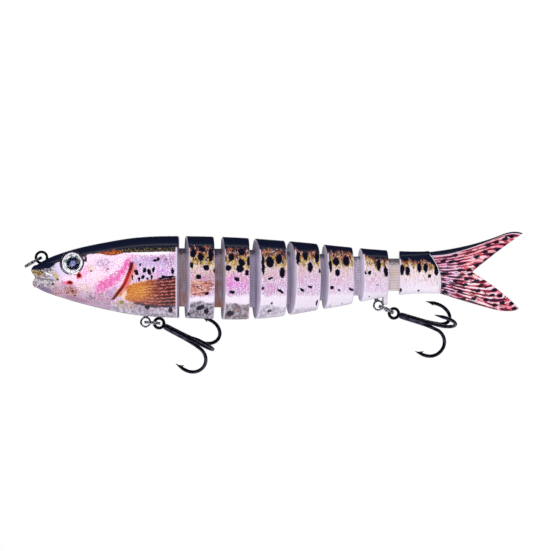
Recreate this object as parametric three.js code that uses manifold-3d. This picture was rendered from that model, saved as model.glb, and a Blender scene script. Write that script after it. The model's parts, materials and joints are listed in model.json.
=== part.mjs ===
// A multi-jointed swimbait: eight hard body segments joined by a woven fabric strip, a soft forked
// tail, a wire line tie with a split ring, and two treble hooks on split rings. Millimetres, +Z up.
// Every piece is drawn in "straight" fish space (x runs back from the nose tip, y to the fish's
// right, z up from the middle of the body) and then placed by the chain of hinge groups.
import * as THREE from 'three';
import { mergeVertices } from 'three/addons/utils/BufferGeometryUtils.js';
import Module from 'manifold-3d';

const wasm = await Module();
wasm.setup();

// ---------- driving dimensions ----------

// outline of the straight body: distance from the nose, top, bottom, half width
const BODY = [
  { x: 0, top: 2.3, bottom: -2.0, half: 1.7 },
  { x: 1.5, top: 3.5, bottom: -3.1, half: 2.5 },
  { x: 4.2, top: 5.1, bottom: -4.4, half: 3.4 },
  { x: 8, top: 6.6, bottom: -5.7, half: 4.4 },
  { x: 13, top: 8.1, bottom: -7.2, half: 5.3 },
  { x: 20, top: 9.6, bottom: -8.95, half: 6.1 },
  { x: 28, top: 10.9, bottom: -10.5, half: 6.6 },
  { x: 36, top: 11.4, bottom: -11.2, half: 6.7 },
  { x: 48, top: 11.35, bottom: -11.65, half: 6.7 },
  { x: 58, top: 11.0, bottom: -11.85, half: 6.5 },
  { x: 67, top: 10.4, bottom: -11.3, half: 6.1 },
  { x: 77, top: 9.6, bottom: -9.8, half: 5.6 },
  { x: 87, top: 8.6, bottom: -8.1, half: 5.1 },
  { x: 96.5, top: 7.75, bottom: -6.2, half: 4.4 },
  { x: 107, top: 7.15, bottom: -4.7, half: 3.1 },
  { x: 117, top: 7.3, bottom: -4.7, half: 1.9 },
];
const HEAD_LENGTH = 41;
// the six middle segments: length of each, and the gap in front of it
const SEGMENTS = [
  { name: 'segment_2', gap: 1.75, length: 7.85, bend: 8 },
  { name: 'segment_3', gap: 2.3, length: 7.6, bend: -1 },
  { name: 'segment_4', gap: 1.75, length: 8.35, bend: 7 },
  { name: 'segment_5', gap: 1.6, length: 7.9, bend: 4 },
  { name: 'segment_6', gap: 2.1, length: 8.0, bend: -5 },
  { name: 'segment_7', gap: 2.4, length: 7.75, bend: 0 },
];
const TAIL = { name: 'tail', gap: 3.4, length: 11.6, bend: -11 };
const TAIL_END = { middle: -1.5, radius: 10 }; // the tail segment's round rear edge
const HOOK_SEGMENT = 'segment_7';
const SIDES = [[-1, 'left'], [1, 'right']];
const END_CHAMFER = THREE.MathUtils.degToRad(4);
const HEAD_RINGS = 14;
const SECTION_STEPS = 12;
const SPLIT = 0.15; // half the gap between a left and a right shell
const CLEAR = 0.3; // gap between pieces that touch
const OVERCUT = 1; // how far a pocket's cutter runs past the face that it opens in

const WEB = { thickness: 0.5, flap: 1.8, top: 0.7, bottom: 0.72 };
const FIN = { tang: 4, tangHalf: 0.5, tangLow: -3, tangHigh: 3.8, rootHalf: 1.7, tipHalf: 0.45 };

const EYE = { x: 11.6, z: 3.75, radius: 3.15, recess: 1.5, disc: 0.5, dome: 1.1 };
// the line tie's eye, and the smaller eye behind and below it that anchors it between the shells
const LINE_TIE = { x: 2.65, z: 5.43, radius: 1.55, wire: 0.375 };
const TIE_ANCHOR = { x: 7.95, z: 0.13, radius: 1.05 };
const NOSE_RING = { radius: 2.55, wire: 0.33, down: 29 };
const BALLAST = { from: 17, length: 11, radius: 2.9, z: -3.7 };

const HANGER = { radius: 1.3, wire: 0.28, neck: 0.38, inner: 1.05, height: 5.2 };
// the lug of clear plastic that steadies the rear hanger, at the lower rear corner of its segment
const LUG = { x0: 99.2, x1: 100.3, half: 1.2, low: -7.8, high: -5.3 };
const RING = { radius: 2.1, wire: 0.29 };
const RING_STRETCH = 1.5; // a split ring is two turns of wire, so its section is taller than wide
// where each hook hangs: its hanger eye, the way its ring leaves the hanger and the way the shank
// points (degrees below the horizontal), how far the ring is drawn out, and the hook's roll
const FRONT_HOOK = { x: 31.65, z: -12.55, anchorX: 0, ring: 5, shank: 27.5, pull: -0.22, roll: -6 };
const REAR_HOOK = { x: 97.9, z: -7.95, anchorX: -1.7, ring: 26.5, shank: 16, pull: 0.4, roll: -15 };
const HOOK = {
  eye: 1.35, eyeWire: 0.46, shank: 0.95, length: 12.6, reach: 9.0, bend: 4.0, wire: 0.55,
  leaves: 8.6, point: 9.3,
};

// ---------- materials ----------

const finish = (color, roughness, metalness) => new THREE.MeshStandardMaterial({
  color, roughness, metalness,
});
const PAINTED = finish(0xd8c4d6, 0.18, 0);
const FABRIC = finish(0x8d8894, 0.9, 0);
const SOFT = finish(0xd88a92, 0.4, 0);
const STEEL = finish(0xc9ccd2, 0.2, 1);
const HOOK_METAL = finish(0x24252b, 0.2, 1);
const EYE_PRINT = finish(0xdfe6e6, 0.25, 0.3);
const CLEAR_PLASTIC = finish(0xf4f7fa, 0.05, 0);
const LEAD = finish(0x6f7276, 0.6, 0.8);

// ---------- geometry helpers ----------

// smooth value of one column of the body outline at x (cubic through the stations)
function outline(x, key) {
  let i = BODY.findIndex((station) => station.x > x) - 1;
  i = i < 0 ? BODY.length - 2 : i;
  const slope = (k) => {
    const a = BODY[Math.max(k - 1, 0)];
    const b = BODY[Math.min(k + 1, BODY.length - 1)];
    return (b[key] - a[key]) / (b.x - a.x);
  };
  const step = BODY[i + 1].x - BODY[i].x;
  const t = (x - BODY[i].x) / step;
  const [t2, t3] = [t * t, t * t * t];
  return (2 * t3 - 3 * t2 + 1) * BODY[i][key] + (t3 - 2 * t2 + t) * step * slope(i)
    + (3 * t2 - 2 * t3) * BODY[i + 1][key] + (t3 - t2) * step * slope(i + 1);
}

// closed geometry through rings of points, each ring ordered the same way, with fan caps
function loft(rings) {
  const count = rings[0].length;
  const positions = rings.flat().flatMap((p) => [p.x, p.y, p.z]);
  const index = [];
  for (let r = 0; r < rings.length - 1; r += 1) {
    for (let k = 0; k < count; k += 1) {
      const a = r * count + k;
      const b = r * count + ((k + 1) % count);
      index.push(a, b, b + count, a, b + count, a + count);
    }
  }
  const last = (rings.length - 1) * count;
  for (let k = 1; k < count - 1; k += 1) {
    index.push(0, k + 1, k);
    index.push(last, last + k, last + k + 1);
  }
  const geometry = new THREE.BufferGeometry();
  geometry.setAttribute('position', new THREE.Float32BufferAttribute(positions, 3));
  geometry.setIndex(index);
  return geometry;
}

function solid(geometry) {
  const bare = geometry.clone();
  bare.deleteAttribute('normal');
  bare.deleteAttribute('uv');
  const merged = mergeVertices(bare, 1e-4);
  return new wasm.Manifold(new wasm.Mesh({
    numProp: 3,
    vertProperties: new Float32Array(merged.attributes.position.array),
    triVerts: new Uint32Array(merged.index.array),
  }));
}

function geometryOf(manifold) {
  const { vertProperties, triVerts } = manifold.getMesh();
  const geometry = new THREE.BufferGeometry();
  geometry.setAttribute('position', new THREE.BufferAttribute(vertProperties, 3));
  geometry.setIndex(new THREE.BufferAttribute(triVerts, 1));
  geometry.computeVertexNormals();
  return geometry;
}

function box(x0, x1, y0, y1, z0, z1) {
  const geometry = new THREE.BoxGeometry(x1 - x0, y1 - y0, z1 - z0);
  return solid(geometry.translate((x0 + x1) / 2, (y0 + y1) / 2, (z0 + z1) / 2));
}

// rod between two points
function rod(from, to, radius, sides = 8) {
  const way = new THREE.Vector3().subVectors(to, from);
  const geometry = new THREE.CylinderGeometry(radius, radius, way.length(), sides);
  const turn = new THREE.Quaternion().setFromUnitVectors(
    new THREE.Vector3(0, 1, 0),
    way.clone().normalize(),
  );
  geometry.applyQuaternion(turn);
  return geometry.translate(...from.clone().add(to).multiplyScalar(0.5).toArray());
}

// ring of wire around the point (x, 0, z), with its hole along Y
function wireEye(x, z, radius, wire, sides = 8, around = 16) {
  return new THREE.TorusGeometry(radius, wire, sides, around).rotateX(Math.PI / 2).translate(x, 0, z);
}

// ---------- body shells ----------

// one side's section at x, from the belly round the flank to the back; side is -1 left, 1 right
function halfSection(x, side, shift) {
  const top = outline(x, 'top');
  const bottom = outline(x, 'bottom');
  const half = outline(x, 'half');
  const middle = 0.08 * (top + bottom);
  const points = [];
  for (let k = 0; k <= SECTION_STEPS; k += 1) {
    const angle = Math.PI * (k / SECTION_STEPS - 0.5);
    const height = angle > 0 ? top - middle : middle - bottom;
    const y = SPLIT + (half - SPLIT) * Math.cos(angle) ** 0.86;
    const z = middle + height * Math.sin(angle);
    const flat = Math.abs(Math.abs(angle) - Math.PI / 2) < 1e-6;
    points.push(new THREE.Vector3(x + shift(flat ? SPLIT : y, z), side * (flat ? SPLIT : y), z));
  }
  return side > 0 ? points : points.reverse();
}

// half of a body segment from x0 to x1 through evenly spaced rings, with shaped end faces
function shellHalf({ start, end }, side, spans, rearShift) {
  const rings = [];
  for (let k = 0; k <= spans; k += 1) {
    const shift = k === 0 ? leansBack : k === spans ? rearShift : upright;
    rings.push(halfSection(start + ((end - start) * k) / spans, side, shift));
  }
  return solid(loft(rings));
}

const upright = () => 0;
const leansBack = (y) => y * Math.tan(END_CHAMFER);
const leansForward = (y) => -y * Math.tan(END_CHAMFER);
const tailArc = (y, z) => -((z - TAIL_END.middle) ** 2) / (2 * TAIL_END.radius);

// the pocket for one end of a fabric web inside a segment, from x0 to x1
function webPocket(x0, x1, height) {
  const deep = WEB.thickness / 2 + CLEAR;
  return box(x0, x1, -deep, deep, height.low - CLEAR, height.high + CLEAR);
}

function webHeight(x) {
  return { low: WEB.bottom * outline(x, 'bottom'), high: WEB.top * outline(x, 'top') };
}


// ---------- pieces ----------

function part(name, geometry, material) {
  const mesh = new THREE.Mesh(geometry, material);
  mesh.name = name;
  return mesh;
}

function cut(shell, pockets) {
  return geometryOf(pockets.reduce((left, pocket) => left.subtract(pocket), shell));
}

const webAt = [];
let reach = HEAD_LENGTH;
const pieces = [...SEGMENTS, TAIL].map((segment) => {
  const start = reach + segment.gap;
  const hinge = reach + segment.gap / 2;
  webAt.push({ hinge, gap: segment.gap, bend: segment.bend, height: webHeight(hinge) });
  reach = start + segment.length;
  return { ...segment, start, end: reach, hinge };
});

// two wire eyes joined by a neck: one outside, and one that anchors it between the shells
function eyeletGeometry(outer, inner, wireRadius, neckRadius) {
  const from = new THREE.Vector3(outer.x, 0, outer.z);
  const to = new THREE.Vector3(inner.x, 0, inner.z);
  const way = new THREE.Vector3().subVectors(to, from).normalize();
  const neck = rod(
    from.clone().addScaledVector(way, outer.radius),
    to.clone().addScaledVector(way, -inner.radius),
    neckRadius,
  );
  return geometryOf(solid(wireEye(outer.x, outer.z, outer.radius, wireRadius))
    .add(solid(wireEye(inner.x, inner.z, inner.radius, wireRadius)))
    .add(solid(neck)));
}

// room for an eyelet between the shells: a round room for each eye and a channel for the neck
function eyeletPockets(outer, inner, wireRadius, neckRadius) {
  const deep = neckRadius + CLEAR;
  const rooms = [outer, inner].map(({ x, z, radius }) => {
    const room = radius + wireRadius + CLEAR;
    return solid(new THREE.CylinderGeometry(room, room, 2 * deep, 16).translate(x, 0, z));
  });
  const from = new THREE.Vector3(outer.x, 0, outer.z);
  const to = new THREE.Vector3(inner.x, 0, inner.z);
  return [...rooms, solid(rod(from, to, deep))];
}

function hangerEyes(at) {
  return [
    { x: at.x, z: at.z, radius: HANGER.radius },
    { x: at.x + at.anchorX, z: at.z + HANGER.height, radius: HANGER.inner },
    HANGER.wire,
    HANGER.neck,
  ];
}

const TIE_EYES = [LINE_TIE, TIE_ANCHOR, LINE_TIE.wire, 1.3 * LINE_TIE.wire];

// frame of an eye: its centre on the head's surface and the turn that points +Z out of the head
function eyePlace(side) {
  const probe = (x, z) => {
    const top = outline(x, 'top');
    const bottom = outline(x, 'bottom');
    const middle = 0.08 * (top + bottom);
    const sine = (z - middle) / (top - middle);
    return SPLIT + (outline(x, 'half') - SPLIT) * Math.sqrt(1 - sine * sine) ** 0.86;
  };
  const y = probe(EYE.x, EYE.z);
  const alongX = probe(EYE.x + 1, EYE.z) - probe(EYE.x - 1, EYE.z);
  const alongZ = probe(EYE.x, EYE.z + 1) - probe(EYE.x, EYE.z - 1);
  const normal = new THREE.Vector3(-alongX / 2, 1, (-alongZ / 2) * 0.5).normalize();
  normal.y *= side;
  return {
    centre: new THREE.Vector3(EYE.x, side * y, EYE.z),
    turn: new THREE.Quaternion().setFromUnitVectors(new THREE.Vector3(0, 0, 1), normal),
  };
}

// a round piece about the eye's axis, from a profile of [radius, height out of the head]
function eyeTurned(side, profile, around = 24) {
  const { centre, turn } = eyePlace(side);
  const points = profile.map(([r, h]) => new THREE.Vector2(r, h));
  const geometry = new THREE.LatheGeometry(points, around).rotateX(Math.PI / 2);
  return geometry.applyQuaternion(turn).translate(...centre.toArray());
}

function eyePieces(side, word) {
  const floor = -EYE.recess;
  const discLow = floor + CLEAR;
  const discHigh = discLow + EYE.disc;
  const lensLow = discHigh + CLEAR;
  const radius = EYE.radius - CLEAR;
  const dome = [[0, lensLow], [radius, lensLow]];
  for (let k = 0; k <= 4; k += 1) {
    const angle = (k / 4) * (Math.PI / 2);
    dome.push([radius * Math.cos(angle), lensLow + 0.5 + (EYE.dome - 0.5) * Math.sin(angle)]);
  }
  dome[dome.length - 1][0] = 0;
  const disc = [[0, discLow], [radius, discLow], [radius, discHigh], [0, discHigh]];
  return [
    part(`${word}_eye_disc`, eyeTurned(side, disc), EYE_PRINT),
    part(`${word}_eye_lens`, eyeTurned(side, dome), CLEAR_PLASTIC),
  ];
}

function eyePocket(side) {
  const { radius, recess } = EYE;
  return solid(eyeTurned(side, [[0, -recess], [radius, -recess], [radius, 4], [0, 4]]));
}

function ballastBody(extra) {
  const { from, length, radius, z } = BALLAST;
  const geometry = new THREE.CylinderGeometry(radius + extra, radius + extra, length + 2 * extra, 14);
  return geometry.rotateZ(Math.PI / 2).translate(from + length / 2, 0, z);
}

function headPieces() {
  const pockets = [
    ...eyeletPockets(...TIE_EYES),
    ...eyeletPockets(...hangerEyes(FRONT_HOOK)),
    solid(ballastBody(CLEAR)),
    webPocket(HEAD_LENGTH - WEB.flap - CLEAR, HEAD_LENGTH + OVERCUT, webAt[0].height),
  ];
  const shells = SIDES.flatMap(([side, word]) => {
    const rings = [];
    for (let k = 0; k <= HEAD_RINGS; k += 1) {
      const x = HEAD_LENGTH * (k / HEAD_RINGS) ** 1.35;
      rings.push(halfSection(x, side, k === HEAD_RINGS ? leansForward : upright));
    }
    const shell = solid(loft(rings));
    return [
      part(`head_${word}_shell`, cut(shell, [...pockets, eyePocket(side)]), PAINTED),
      ...eyePieces(side, word),
    ];
  });
  return [
    ...shells,
    part('line_tie', eyeletGeometry(...TIE_EYES), STEEL),
    part('head_ballast', ballastBody(0), LEAD),
    part('front_hook_hanger', eyeletGeometry(...hangerEyes(FRONT_HOOK)), STEEL),
  ];
}

function segmentShells(piece, index) {
  const pockets = [
    webPocket(piece.start - OVERCUT, piece.start + WEB.flap + CLEAR, webAt[index].height),
    webPocket(piece.end - WEB.flap - CLEAR, piece.end + OVERCUT, webAt[index + 1].height),
  ];
  const carriesHook = piece.name === HOOK_SEGMENT;
  if (carriesHook) {
    pockets.push(...eyeletPockets(...hangerEyes(REAR_HOOK)));
  }
  return SIDES.map(([side, word]) => {
    const shell = shellHalf(piece, side, 2, leansForward);
    const whole = carriesHook ? shell.add(lug(side)) : shell;
    return part(`${piece.name}_${word}_shell`, cut(whole, pockets), PAINTED);
  });
}

// one shell's half of the lug
function lug(side) {
  const [near, far] = [side * SPLIT, side * LUG.half];
  return box(LUG.x0, LUG.x1, Math.min(near, far), Math.max(near, far), LUG.low, LUG.high);
}

function tailShells(piece) {
  const tang = FIN.tangHalf + CLEAR;
  const pockets = [
    webPocket(piece.start - OVERCUT, piece.start + WEB.flap + CLEAR, webAt[webAt.length - 1].height),
    box(
      piece.end - FIN.tang - CLEAR,
      piece.end + OVERCUT,
      -tang,
      tang,
      FIN.tangLow - CLEAR,
      FIN.tangHigh + CLEAR,
    ),
  ];
  return SIDES.map(([side, word]) => part(
    `${piece.name}_${word}_shell`,
    cut(shellHalf(piece, side, 3, tailArc), pockets),
    PAINTED,
  ));
}

// the soft fin: a forked outline, thick where it meets the tail segment and thin at its tips;
// distances along it are counted from its root
function finGeometry(piece) {
  const root = piece.end + CLEAR;
  const edge = (z) => root + tailArc(0, z);
  const shape = new THREE.Shape();
  shape.moveTo(edge(7.0), 7.0);
  shape.quadraticCurveTo(root + 8, 8.2, root + 17.2, 12);
  shape.quadraticCurveTo(root + 20.5, 13.2, root + 22.8, 12.2);
  shape.quadraticCurveTo(root + 15.5, 7.2, root + 8.6, 1.4);
  shape.quadraticCurveTo(root + 16.0, -3.0, root + 21.6, -8.6);
  shape.quadraticCurveTo(root + 21.4, -10, root + 16, -9.4);
  shape.quadraticCurveTo(root + 8, -7.4, edge(-4.6), -4.6);
  for (let k = 1; k < 8; k += 1) {
    const z = -4.6 + (11.6 * k) / 8;
    shape.lineTo(edge(z), z);
  }
  const depth = 2 * FIN.rootHalf;
  const sheet = new THREE.ExtrudeGeometry(shape, { depth, bevelEnabled: false, curveSegments: 6 });
  sheet.rotateX(Math.PI / 2).translate(0, FIN.rootHalf, 0);
  const wedge = new THREE.Shape([
    new THREE.Vector2(root - 6, -FIN.rootHalf),
    new THREE.Vector2(root + 1, -FIN.rootHalf),
    new THREE.Vector2(root + 24, -FIN.tipHalf),
    new THREE.Vector2(root + 24, FIN.tipHalf),
    new THREE.Vector2(root + 1, FIN.rootHalf),
    new THREE.Vector2(root - 6, FIN.rootHalf),
  ]);
  const taper = new THREE.ExtrudeGeometry(wedge, { depth: 40, bevelEnabled: false });
  taper.translate(0, 0, -20);
  const { tang, tangHalf, tangLow, tangHigh } = FIN;
  const inside = box(piece.end - tang, root + 0.5, -tangHalf, tangHalf, tangLow, tangHigh);
  return geometryOf(solid(sheet).intersect(solid(taper)).add(inside));
}

// a stretch of the fabric strip: bent at the hinge so that each flap lies in its own segment
function webGeometry({ gap, bend, height }) {
  const long = gap / 2 + WEB.flap;
  const thick = WEB.thickness / 2;
  const turn = THREE.MathUtils.degToRad(bend);
  const far = (y) => new THREE.Vector2(long, y).rotateAround(new THREE.Vector2(0, 0), turn);
  const mitre = new THREE.Vector2(0, thick / Math.cos(turn / 2));
  const middle = mitre.clone().rotateAround(new THREE.Vector2(0, 0), turn / 2);
  const shape = new THREE.Shape([
    new THREE.Vector2(-long, -thick),
    middle.clone().negate(),
    far(-thick),
    far(thick),
    middle,
    new THREE.Vector2(-long, thick),
  ]);
  const depth = height.high - height.low;
  return new THREE.ExtrudeGeometry(shape, { depth, bevelEnabled: false }).translate(0, 0, height.low);
}

// ---------- rings and hooks ----------

// wire swept through points in one plane given by a normal; radii may shrink towards a point
function wire(points, radii, normal, sides = 6) {
  const rings = points.map((point, i) => {
    const before = points[Math.max(i - 1, 0)];
    const after = points[Math.min(i + 1, points.length - 1)];
    const along = new THREE.Vector3().subVectors(after, before).normalize();
    const across = new THREE.Vector3().crossVectors(along, normal).normalize();
    return Array.from({ length: sides }, (_, k) => {
      const angle = (2 * Math.PI * k) / sides;
      return point.clone()
        .addScaledVector(across, radii[i] * Math.cos(angle))
        .addScaledVector(normal, -radii[i] * Math.sin(angle));
    });
  });
  return solid(loft(rings));
}

// one prong: along the shank, out into the round bend, and back to its point
function prong(angle) {
  const { reach: far, bend, wire: thick, length, leaves, point } = HOOK;
  const out = new THREE.Vector3(0, Math.cos(angle), Math.sin(angle));
  const normal = new THREE.Vector3().crossVectors(new THREE.Vector3(1, 0, 0), out);
  const at = (a, r) => new THREE.Vector3(a, 0, 0).addScaledVector(out, r);
  const centre = { a: length, r: far - bend };
  const begin = THREE.MathUtils.degToRad(-62);
  const flat = [[5.5, 0.5], [leaves, 0.55], [(leaves + length) / 2 + 0.4, 0.85]];
  const steps = 9;
  for (let k = 0; k <= steps; k += 1) {
    const turn = begin + ((Math.PI / 2 - begin) * k) / steps;
    flat.push([centre.a + bend * Math.cos(turn), centre.r + bend * Math.sin(turn)]);
  }
  flat.push([(length + point) / 2, far - 0.12], [point, far - 0.35]);
  const points = flat.map(([a, r]) => at(a, r));
  const radii = flat.map((_, i) => (i === flat.length - 1 ? 0.06 : i === flat.length - 2 ? 0.4 : thick));
  return wire(points, radii, normal);
}

// a treble hook: its eye's centre at the origin, its shank along +X, its eye's hole along Y
function hookGeometry(roll) {
  const { eye, eyeWire, shank, length } = HOOK;
  const start = new THREE.Vector3(eye, 0, 0);
  const stop = new THREE.Vector3(length - 1.6, 0, 0);
  let hook = solid(wireEye(0, 0, eye, eyeWire)).add(solid(rod(start, stop, shank)));
  for (let k = 0; k < 3; k += 1) {
    hook = hook.add(prong(THREE.MathUtils.degToRad(60 + roll + 120 * k)));
  }
  return geometryOf(hook);
}

// a split ring in the plane of +X and Y, with one side of it at the origin
function ringGeometry({ radius, wire: thick }) {
  const ring = new THREE.TorusGeometry(radius, thick, 8, 20).scale(1, 1, RING_STRETCH);
  return ring.translate(radius, 0, 0);
}

function pitched(child, x, z, degreesDown) {
  const group = new THREE.Group();
  group.position.set(x, 0, z);
  group.rotation.y = THREE.MathUtils.degToRad(degreesDown);
  group.add(child);
  return group;
}

// split ring and treble hook under one hanger
function hookGroups(word, at) {
  const away = new THREE.Vector2(1, 0).rotateAround(
    new THREE.Vector2(0, 0),
    -THREE.MathUtils.degToRad(at.ring),
  );
  const ringX = at.x + away.x * at.pull;
  const ringZ = at.z + away.y * at.pull;
  const far = 2 * RING.radius + 2 * at.pull;
  return [
    pitched(part(`${word}_split_ring`, ringGeometry(RING), STEEL), ringX, ringZ, at.ring),
    pitched(
      part(`${word}_treble_hook`, hookGeometry(at.roll), HOOK_METAL),
      at.x + away.x * far,
      at.z + away.y * far,
      at.shank,
    ),
  ];
}

// ---------- assembly ----------

const lure = new THREE.Group();
lure.position.set(-LINE_TIE.x, 0, -LINE_TIE.z);
lure.add(...headPieces());
const noseRing = part('nose_split_ring', ringGeometry(NOSE_RING), STEEL);
lure.add(pitched(noseRing, LINE_TIE.x, LINE_TIE.z, 180 - NOSE_RING.down));
lure.add(...hookGroups('front', FRONT_HOOK));

let straight = lure;
pieces.forEach((piece, index) => {
  const web = part(`hinge_web_${index + 1}`, webGeometry(webAt[index]), FABRIC);
  web.position.set(piece.hinge, 0, 0);
  straight.add(web);
  const turning = new THREE.Group();
  turning.position.set(piece.hinge, 0, 0);
  turning.rotation.z = THREE.MathUtils.degToRad(piece.bend);
  straight.add(turning);
  straight = new THREE.Group();
  straight.position.set(-piece.hinge, 0, 0);
  turning.add(straight);
  const isTail = piece.name === TAIL.name;
  straight.add(...(isTail ? tailShells(piece) : segmentShells(piece, index)));
  if (piece.name === HOOK_SEGMENT) {
    straight.add(part('rear_hook_hanger', eyeletGeometry(...hangerEyes(REAR_HOOK)), STEEL));
    straight.add(...hookGroups('rear', REAR_HOOK));
  }
  if (isTail) {
    straight.add(part('tail_fin', finGeometry(piece), SOFT));
  }
});

export default lure;
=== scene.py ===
"""The looks of a multi-jointed swimbait: painted shells, woven hinge strips, a soft forked tail,
wire rings and two treble hooks. Pieces are drawn in millimetres in the straight fish's own space
(x runs back from the nose tip, y to its right, z up from the middle of the body) and each is
placed by the body that it rides on, so one painted pattern runs on from segment to segment."""
import json
import math

import bmesh
import bpy
import numpy as np
from mathutils import Matrix, Vector


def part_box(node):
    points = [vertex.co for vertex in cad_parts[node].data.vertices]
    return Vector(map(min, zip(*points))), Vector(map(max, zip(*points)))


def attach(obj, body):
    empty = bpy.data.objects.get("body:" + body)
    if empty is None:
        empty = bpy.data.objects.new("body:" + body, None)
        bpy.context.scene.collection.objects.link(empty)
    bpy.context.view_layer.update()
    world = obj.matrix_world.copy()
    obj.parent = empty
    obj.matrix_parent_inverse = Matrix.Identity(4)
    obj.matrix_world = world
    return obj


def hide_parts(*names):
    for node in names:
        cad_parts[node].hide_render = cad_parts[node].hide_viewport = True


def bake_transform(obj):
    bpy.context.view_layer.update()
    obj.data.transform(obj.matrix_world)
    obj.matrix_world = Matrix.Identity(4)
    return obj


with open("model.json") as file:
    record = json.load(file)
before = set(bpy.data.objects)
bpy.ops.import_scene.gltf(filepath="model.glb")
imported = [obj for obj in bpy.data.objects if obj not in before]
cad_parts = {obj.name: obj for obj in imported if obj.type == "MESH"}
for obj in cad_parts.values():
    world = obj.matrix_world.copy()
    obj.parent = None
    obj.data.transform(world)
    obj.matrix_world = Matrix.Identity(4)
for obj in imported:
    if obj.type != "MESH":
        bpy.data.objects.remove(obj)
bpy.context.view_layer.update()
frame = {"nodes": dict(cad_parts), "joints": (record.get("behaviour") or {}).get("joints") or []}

MM = 0.001
QUARTER = math.pi / 2

# ---------- driving dimensions, in millimetres ----------

# outline of the straight body: distance from the nose, top, bottom, half width
OUTLINE = np.array([
    (0, 2.3, -2.0, 1.7), (1.5, 3.5, -3.1, 2.5), (4.2, 5.1, -4.4, 3.4), (8, 6.6, -5.7, 4.4),
    (13, 8.1, -7.2, 5.3), (20, 9.6, -8.95, 6.1), (28, 10.9, -10.5, 6.6), (36, 11.4, -11.2, 6.7),
    (48, 11.35, -11.65, 6.7), (58, 11.0, -11.85, 6.5), (67, 10.4, -11.3, 6.1), (77, 9.6, -9.8, 5.6),
    (87, 8.6, -8.1, 5.1), (96.5, 7.75, -6.2, 4.4), (107, 7.15, -4.7, 3.1), (117, 7.3, -4.7, 1.9),
])
SIDES = ((-1, "left"), (1, "right"))
SEAM = 0.012  # half the parting line between a left and a right shell
SEAM_CHAMFER = 0.12
END_ROUND = 0.35  # radius of the rounded edge round each end face
NOSE_ROUND = 1.35
END_LEAN = math.tan(math.radians(4))
FULLNESS = 0.86  # below 1, the body's sides are fuller than an ellipse
LEAN_REACH = 3  # how far into the segment an end face's lean fades out
SECTION_STEPS = 56
SEAM_STEPS = 36
HEAD_LENGTH = 41.0
HEAD_ZONES = (("snout", -5.0, 11.6), ("cheek", 11.6, 22.2), ("rear", 22.2, 46.0))
SEGMENT_LENGTHS = (7.85, 7.6, 8.35, 7.9, 8.0, 7.75, 11.6)
GAPS = (1.75, 2.3, 1.75, 1.6, 2.1, 2.4, 3.4)
TAIL_ARC = (-1.5, 20.0)  # height of the round rear edge's middle, and twice its radius
EYE_RADIUS = 3.5
EYE_PRINT_RADIUS = 3.36
EYE_SHIFT = Vector((-0.45, 0, 0.25))  # from the CAD disc, to where the photo shows the eye
EYE_SURFACE = 0.95  # height of the head's surface over the middle of the CAD eye disc
EYE_POCKET = 1.15  # depth of the pocket under that surface
EYE_DISC_SUNK = 0.55
ROUND_STEPS = 96
WEB_FLAP = 1.8
WEB_HALF = 0.25  # half the strip's thickness
WARP_PITCH = 0.7
WEFT_PITCH = 0.62
RIB_PITCH = 0.45  # of the ribs painted on a strip
FIN_ROOT = 115.65
FIN_RIBS = 17
FIN_TIP_HIGH = (22.8, 12.2)  # aft of the root, and height
FIN_TIP_LOW = (21.6, -8.6)
FIN_NOTCH = (8.6, 1.4)
FIN_THICK = 1.6  # half thickness at the root
FIN_THIN = 0.42  # and at the tips

BODIES = ["head"] + [f"segment_{k}" for k in range(2, 8)] + ["tail"]


def joint(name):
    return next(j for j in frame["joints"] if j["name"] == name)


def pivot(name):
    return Vector(joint(name)["pos_m"])


# ---------- where each body of the straight fish lies at rest ----------

def body_places():
    """Matrix of each body segment from the straight fish's space (in metres) to the frame."""
    nose = Vector((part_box("head_left_shell")[0].x, 0, pivot("body_hinge_1").z))
    places = [Matrix.Translation(nose)]
    turn = 0.0
    reach = 0.0
    before = nose
    for k in range(1, 8):
        point = pivot(f"body_hinge_{k}")
        reach += (point - before).length
        before = point
        low, high = joint(f"body_hinge_{k}")["range_deg"]
        turn -= math.radians((low + high) / 2)
        places.append(
            Matrix.Translation(point) @ Matrix.Rotation(turn, 4, "Z") @ Matrix.Translation((-reach, 0, 0))
        )
    return dict(zip(BODIES, places))


PLACE = body_places()
MIDDLE_HEIGHT = PLACE["head"].translation.z / MM  # of the fish's middle, in the frame


def spans():
    """First and last x of each body segment, in millimetres."""
    ends = {"head": (0.0, HEAD_LENGTH)}
    reach = HEAD_LENGTH
    for name, gap, length in zip(BODIES[1:], GAPS, SEGMENT_LENGTHS):
        ends[name] = (reach + gap, reach + gap + length)
        reach += gap + length
    return ends


SPAN = spans()


def outline(x):
    """Top, bottom and half width of the straight body at x (cubic through the stations)."""
    i = int(np.clip(np.searchsorted(OUTLINE[:, 0], x, side="right") - 1, 0, len(OUTLINE) - 2))

    def slope(k):
        a = OUTLINE[max(k - 1, 0)]
        b = OUTLINE[min(k + 1, len(OUTLINE) - 1)]
        return (b[1:] - a[1:]) / (b[0] - a[0])

    step = OUTLINE[i + 1, 0] - OUTLINE[i, 0]
    t = (x - OUTLINE[i, 0]) / step
    ahead = 3 * t**2 - 2 * t**3
    return (
        (1 - ahead) * OUTLINE[i, 1:]
        + (t**3 - 2 * t**2 + t) * step * slope(i)
        + ahead * OUTLINE[i + 1, 1:]
        + (t**3 - t**2) * step * slope(i + 1)
    )


# ---------- meshes ----------

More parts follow.
